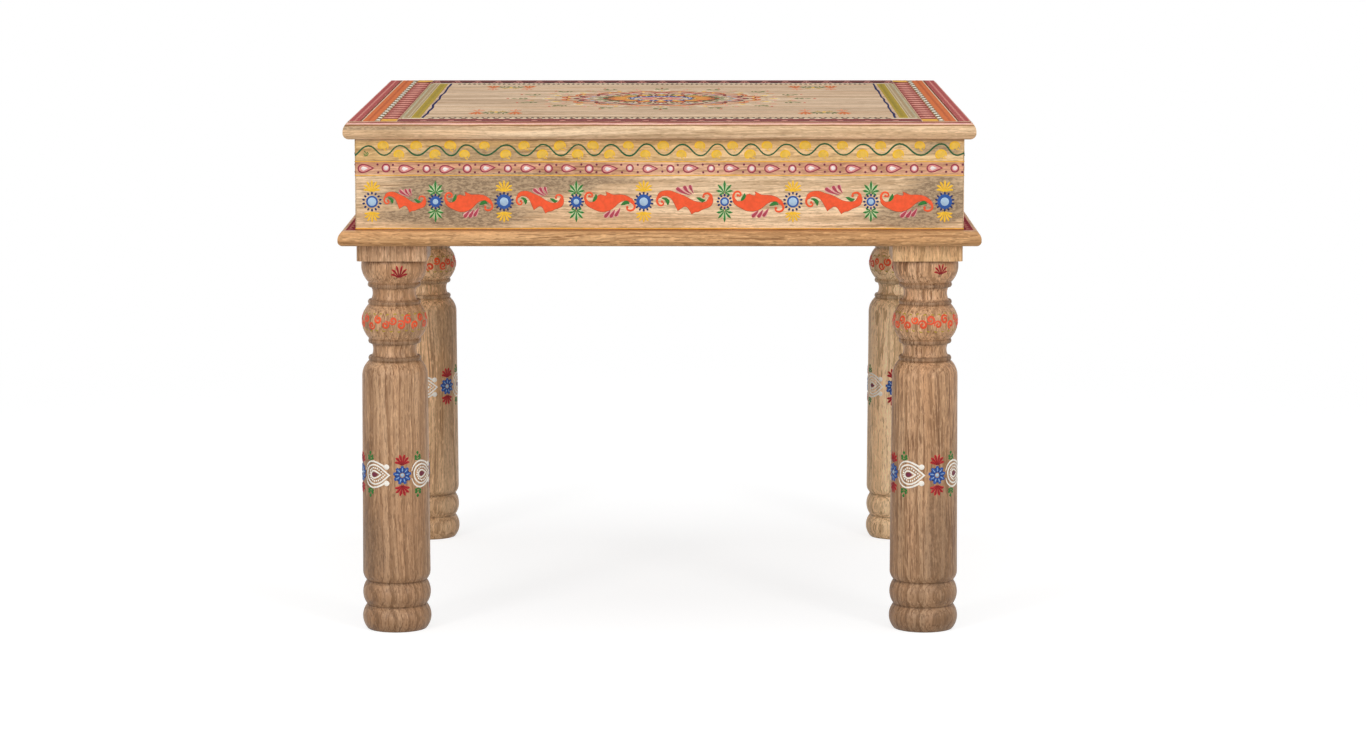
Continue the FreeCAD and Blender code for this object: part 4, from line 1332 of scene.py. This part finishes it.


# Wood and metal: marks as (place, reach, strength), height washes as (low, high, colour share), in
# millimetres

EDGE_STREAKS = [((-276, -298, 490), (64, 14, 3.6), 0.7), ((-150, -299, 489), (150, 14, 2.0), 0.35)]
# Painted sheen: the top face and the crown of its edge are tinted greyer and cooler, in place of a shine on
# the wood.
TOP_PAINTED_SHEEN = [(494.4, 500, (0.88, 0.95, 1.12))]
# The first two box washes are tints of the wood; the last, from 476.6 to 480 mm, is painted shadow under the
# top's overhang.
BOX_STAINS_AND_SHADE = [(444.0, 456.0, (0.92, 0.65, 0.66)), (457.0, 476.4, (1.03, 0.96, 0.70)),
              (476.6, 480.0, (0.48, 0.38, 0.32))]
BOX_MARKS = {
    "front": [((-200, -290, 424), (60, 60, 23), 0.95), ((-118, -290, 436), (66, 60, 11), 0.9),
              ((-192, -290, 405), (78, 60, 11), 0.95), ((-175, -290, 463), (62, 60, 9), 0.6),
              ((262, -290, 423), (38, 60, 24), 0.95), ((242, -290, 402), (40, 60, 8), 0.8),
              ((-66, -290, 438), (48, 60, 4), 0.7), ((264, -290, 470), (22, 60, 6), 0.7)],
    "right": [((290, 120, 430), (60, 50, 18), 0.8), ((290, -200, 405), (60, 40, 9), 0.7)],
    "back": [((-150, 290, 428), (60, 60, 20), 0.8), ((120, 290, 404), (60, 60, 9), 0.7)],
    "left": [((-290, -60, 420), (60, 60, 16), 0.8), ((-290, 180, 462), (60, 46, 9), 0.6)]}
LEG_MARKS = {
    "back_left": [((-238, 232, 232), (16, 26, 32), 0.5), ((-234, 236, 120), (5, 30, 80), 0.4)],
    "front_left": [((-280, -276, 84), (14, 24, 40), 0.55), ((-240, -282, 300), (20, 26, 14), 0.4)],
    "front_right": [((268, -284, 90), (12, 26, 60), 0.45)]}
# Painted light and shade up each leg: how light each leg is made at these heights, set to how the light falls
# on it.
PAINTED_LIGHT_HEIGHTS = (0, 50, 150, 240, 290, LEG_TOP)
LEG_PAINTED_LIGHT = {
    "front_left": (0.80, 0.86, 1.0, 0.95, 1.28, 1.27), "front_right": (0.66, 0.88, 1.12, 1.06, 1.36, 1.34),
    "back_left": (0.88, 0.90, 0.98, 1.07, 1.16, 1.14), "back_right": (1.04, 1.08, 1.1, 1.0, 1.16, 1.14)}
# Painted shade: every turned groove at these heights is darkened by the share GROOVE_SHADE.
GROOVES = (0.0, 24.0, 47.7, 264.5, 281.0, 319.0, 335.6, LEG_TOP)
GROOVE_SHADE = 0.58
SCREW_PLACES = (-170, -57, 57, 170)
SCREW_INSET = 9.0


def leg_painted_light(light_shares):
    """How light a leg is up its height: painted light and shade, with a band of painted shade in every turned
    groove.
    """
    levels = []
    for groove in GROOVES:
        light = float(np.interp(groove, PAINTED_LIGHT_HEIGHTS, light_shares))
        width = 1.4 if groove < 60 else 3.4
        for place, share in ((-width, light), (-width * 0.55, light * GROOVE_SHADE),
                             (width * 0.55, light * GROOVE_SHADE), (width, light)):
            levels.append(((groove + place) / LEG_TOP, share))
    return [(place, share) for place, share in levels if 0 <= place <= 1]


def dress(node, material):
    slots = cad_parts[node].data.materials
    if len(slots):
        for index in range(len(slots)):
            slots[index] = material
    else:
        slots.append(material)


class BAJOT_OT_wood(bpy.types.Operator):
    """Wood on every board, leg, block and cleat, and plated steel on the bolts"""
    bl_idname = "bajot.wood"
    bl_label = "Wood"

    def execute(self, context):
        woods = context.scene.bajot_woods
        figure = woods.figure

        def dress_wood(part, place, colour, *finish, **more):
            name = part.replace("_plank", "_board").replace("_", " ").capitalize()
            dress(f"{part}_{place}", make_wood(f"{name} {place}", tuple(colour), *finish, **more))

        for number in range(1, 6):
            dress_wood("top_plank", number, woods.top, "x", 40 + number, 0.35, 0.8 * figure,
                       EDGE_STREAKS if number == 1 else (), TOP_PAINTED_SHEEN, sheen=0.0)
        for seed, side in enumerate(SIDES):
            grain = "x" if side in ("front", "back") else "y"
            dress_wood("apron", side, woods.apron, grain, 71 + seed, 0.45, figure, BOX_MARKS[side],
                       BOX_STAINS_AND_SHADE)
            dress_wood("frame_rail", side, woods.rail, grain, 21 + seed, 0.6, figure)
            dress_wood("cleat", side, woods.inner, grain, 61 + seed, 0.5, figure)
        for seed, corner in enumerate(LEGS):
            block = woods.pale_block if corner == "front_right" else woods.block
            # The back legs take their lightened copies of the leg wood: painted light.
            leg = {"back_left": woods.back_left_leg_lightened, "back_right": woods.back_right_leg_lightened}.get(corner, woods.leg)
            dress_wood("leg_block", corner, block, "z", 91 + seed, 0.7, figure)
            dress_wood("leg", corner, leg, "z", 31 + seed, 0.6, 1.7 * figure, LEG_MARKS.get(corner, ()),
                       heart=0.02, levels=leg_painted_light(LEG_PAINTED_LIGHT[corner]), sheen=0.32)
            dress_wood("corner_block", corner, woods.inner, "x", 81 + seed, 0.5, figure)
        steel = make_steel()
        for node in ("hanger_bolts", "washers", "nuts"):
            dress(node, steel)
        return {"FINISHED"}


class BAJOT_OT_screws(bpy.types.Operator):
    """Countersunk screws under the lower frame, which hold it to the box"""
    bl_idname = "bajot.screws"
    bl_label = "Frame screws"

    def execute(self, context):
        points, faces = inset_disc(4.0, 24, ((0.35, 0.35), (1.4, 0.0), (0.5, -0.9)))
        heads, rows = [], []
        inset = APRON_FACE - SCREW_INSET
        for side in range(4):
            cos, sin = math.cos(side * math.pi / 2), math.sin(side * math.pi / 2)
            for along in SCREW_PLACES:
                rows += [tuple(index + len(heads) * len(points) for index in face) for face in faces]
                place = (along * cos + inset * sin, along * sin - inset * cos, FRAME_BOTTOM + 0.05)
                heads.append(points * (1, -1, -1) + place)
        steel = bpy.data.materials["Zinc plated steel"]
        piece = new_piece("frame_screws", np.vstack(heads), rows, [steel], [0] * len(rows), SMOOTH_STEEL)
        return {"FINISHED"}


# Studio

FOOT_HOLE = 0.0275
FLOOR_FADE = (0.9, 2.0)
FLOOR_GLOW = 0.78
FLOOR_GREY = (0.34, 0.34, 0.34, 1)
LAMP_AIM = (0, 0, 0.3)


def make_floor():
    """White where the camera sees it, darker in the shadow, grey to the light itself; open from below
    and under the feet."""
    recipe = Recipe(bpy.data.materials.new("Studio floor"))
    far = recipe.between(recipe.vector("LENGTH", recipe.place), *FLOOR_FADE)
    tone = recipe.mixed(recipe.noise(recipe.place, 3.0, 2.0), (0.50, 0.50, 0.50), (0.52, 0.52, 0.52))
    plain = recipe.add("ShaderNodeBsdfDiffuse", Color=tone).outputs[0]
    shaded = recipe.add("ShaderNodeBsdfDiffuse", Color=FLOOR_GREY).outputs[0]
    near = recipe.add("ShaderNodeAddShader", _0=shaded, _1=recipe.white_glow(FLOOR_GLOW)).outputs[0]
    bright = recipe.blend(far, near, recipe.white_glow(1.0))
    surface = recipe.blend(recipe.seen(), plain, bright)
    foot = sum(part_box("leg_back_right"), Vector()) / 2
    from_foot = recipe.vector("DISTANCE", recipe.vector("ABSOLUTE", recipe.place), _1=(foot.x, foot.y, 0))
    below = recipe.add("ShaderNodeNewGeometry").outputs["Backfacing"]
    hole = recipe.maths("MAXIMUM", below, recipe.maths("LESS_THAN", from_foot, FOOT_HOLE))
    clear = recipe.add("ShaderNodeBsdfTransparent").outputs[0]
    recipe.add("ShaderNodeOutputMaterial", Surface=recipe.blend(hole, surface, clear))
    return recipe.owner


def make_air(strength):
    """Even light on the table, and white behind it."""
    recipe = Recipe(bpy.data.worlds.new("Studio air"))
    even = recipe.add("ShaderNodeBackground", Color=(0.98, 0.99, 1.0, 1), Strength=strength).outputs[0]
    white = recipe.add("ShaderNodeBackground", Color=(1, 1, 1, 1), Strength=1.0).outputs[0]
    recipe.add("ShaderNodeOutputWorld", Surface=recipe.blend(recipe.seen(), even, white))
    return recipe.owner


def lamp(name, power, width, height, place, aim=LAMP_AIM):
    bpy.ops.object.light_add(type="AREA", location=place)
    light = bpy.context.object
    light.name = name
    light.data.energy = power
    light.data.shape = "RECTANGLE"
    light.data.size = width
    light.data.size_y = height
    light.rotation_euler = (Vector(aim) - Vector(place)).to_track_quat("-Z", "Y").to_euler()


class BAJOT_OT_studio(bpy.types.Operator):
    """Pale floor, soft lamps and the camera"""
    bl_idname = "bajot.studio"
    bl_label = "Studio"

    def execute(self, context):
        scene = context.scene
        studio = scene.bajot_studio
        clear_hands()
        bpy.ops.mesh.primitive_plane_add(size=60, location=(0, 0, -0.0001))
        floor = context.object
        floor.name = "studio_floor"
        floor.data.materials.append(make_floor())
        scene.world = make_air(studio.sky)
        for name, x in (("lamp_left", -1.65), ("lamp_right", 1.65)):
            lamp(name, studio.side, 0.6, 1.9, (x, -2.65, 1.3))
        lamp("lamp_front", studio.front, 1.2, 0.8, (0.0, -4.6, 0.9), (0, 0, 0.2))
        lamp("lamp_above", studio.above, 2.4, 2.4, (0.0, -0.3, 2.7))
        bpy.ops.object.camera_add(location=CAMERA_PLACE, rotation=(math.radians(90 - CAMERA_DROP), 0, 0))
        scene.camera = context.object
        scene.camera.data.lens = LENS_PIXELS / PHOTO_WIDTH * scene.camera.data.sensor_width
        scene.view_settings.view_transform = "Standard"
        return {"FINISHED"}


OPERATORS = (
    BAJOT_OT_wood, BAJOT_OT_screws, BAJOT_OT_apron_wave, BAJOT_OT_apron_gems, BAJOT_OT_apron_scrolls,
    BAJOT_OT_apron_medallions, BAJOT_OT_ledge_bands, BAJOT_OT_top_stripes, BAJOT_OT_top_borders,
    BAJOT_OT_top_mandala, BAJOT_OT_top_sprigs, BAJOT_OT_leg_motifs, BAJOT_OT_studio)


class BAJOT_PT_table(bpy.types.Panel):
    """Makes each part of the table's finish"""
    bl_idname = "BAJOT_PT_table"
    bl_label = "Bajot low table"
    bl_space_type = "VIEW_3D"
    bl_region_type = "UI"
    bl_category = "Bajot"

    def draw(self, context):
        for step in OPERATORS:
            self.layout.operator(step.bl_idname)
        for group in GROUPS:
            box = self.layout.box()
            settings = getattr(context.scene, group)
            for name in settings.__class__.__annotations__:
                box.prop(settings, name)


def register():
    for group in GROUPS.values():
        bpy.utils.register_class(group)
    for name, group in GROUPS.items():
        setattr(bpy.types.Scene, name, PointerProperty(type=group))
    for step in OPERATORS:
        bpy.utils.register_class(step)
    bpy.utils.register_class(BAJOT_PT_table)


def unregister():
    bpy.utils.unregister_class(BAJOT_PT_table)
    for step in reversed(OPERATORS):
        bpy.utils.unregister_class(step)
    for name, group in GROUPS.items():
        delattr(bpy.types.Scene, name)
        bpy.utils.unregister_class(group)


def main():
    register()
    bpy.ops.bajot.wood()
    bpy.ops.bajot.screws()
    bpy.ops.bajot.apron_wave()
    bpy.ops.bajot.apron_gems()
    bpy.ops.bajot.apron_scrolls()
    bpy.ops.bajot.apron_medallions()
    bpy.ops.bajot.ledge_bands()
    bpy.ops.bajot.top_stripes()
    bpy.ops.bajot.top_borders()
    bpy.ops.bajot.top_mandala()
    bpy.ops.bajot.top_sprigs()
    bpy.ops.bajot.leg_motifs()
    bpy.data.objects.remove(bpy.data.objects["Brush"])
    bpy.ops.bajot.studio()


if __name__ == "__main__":
    main()
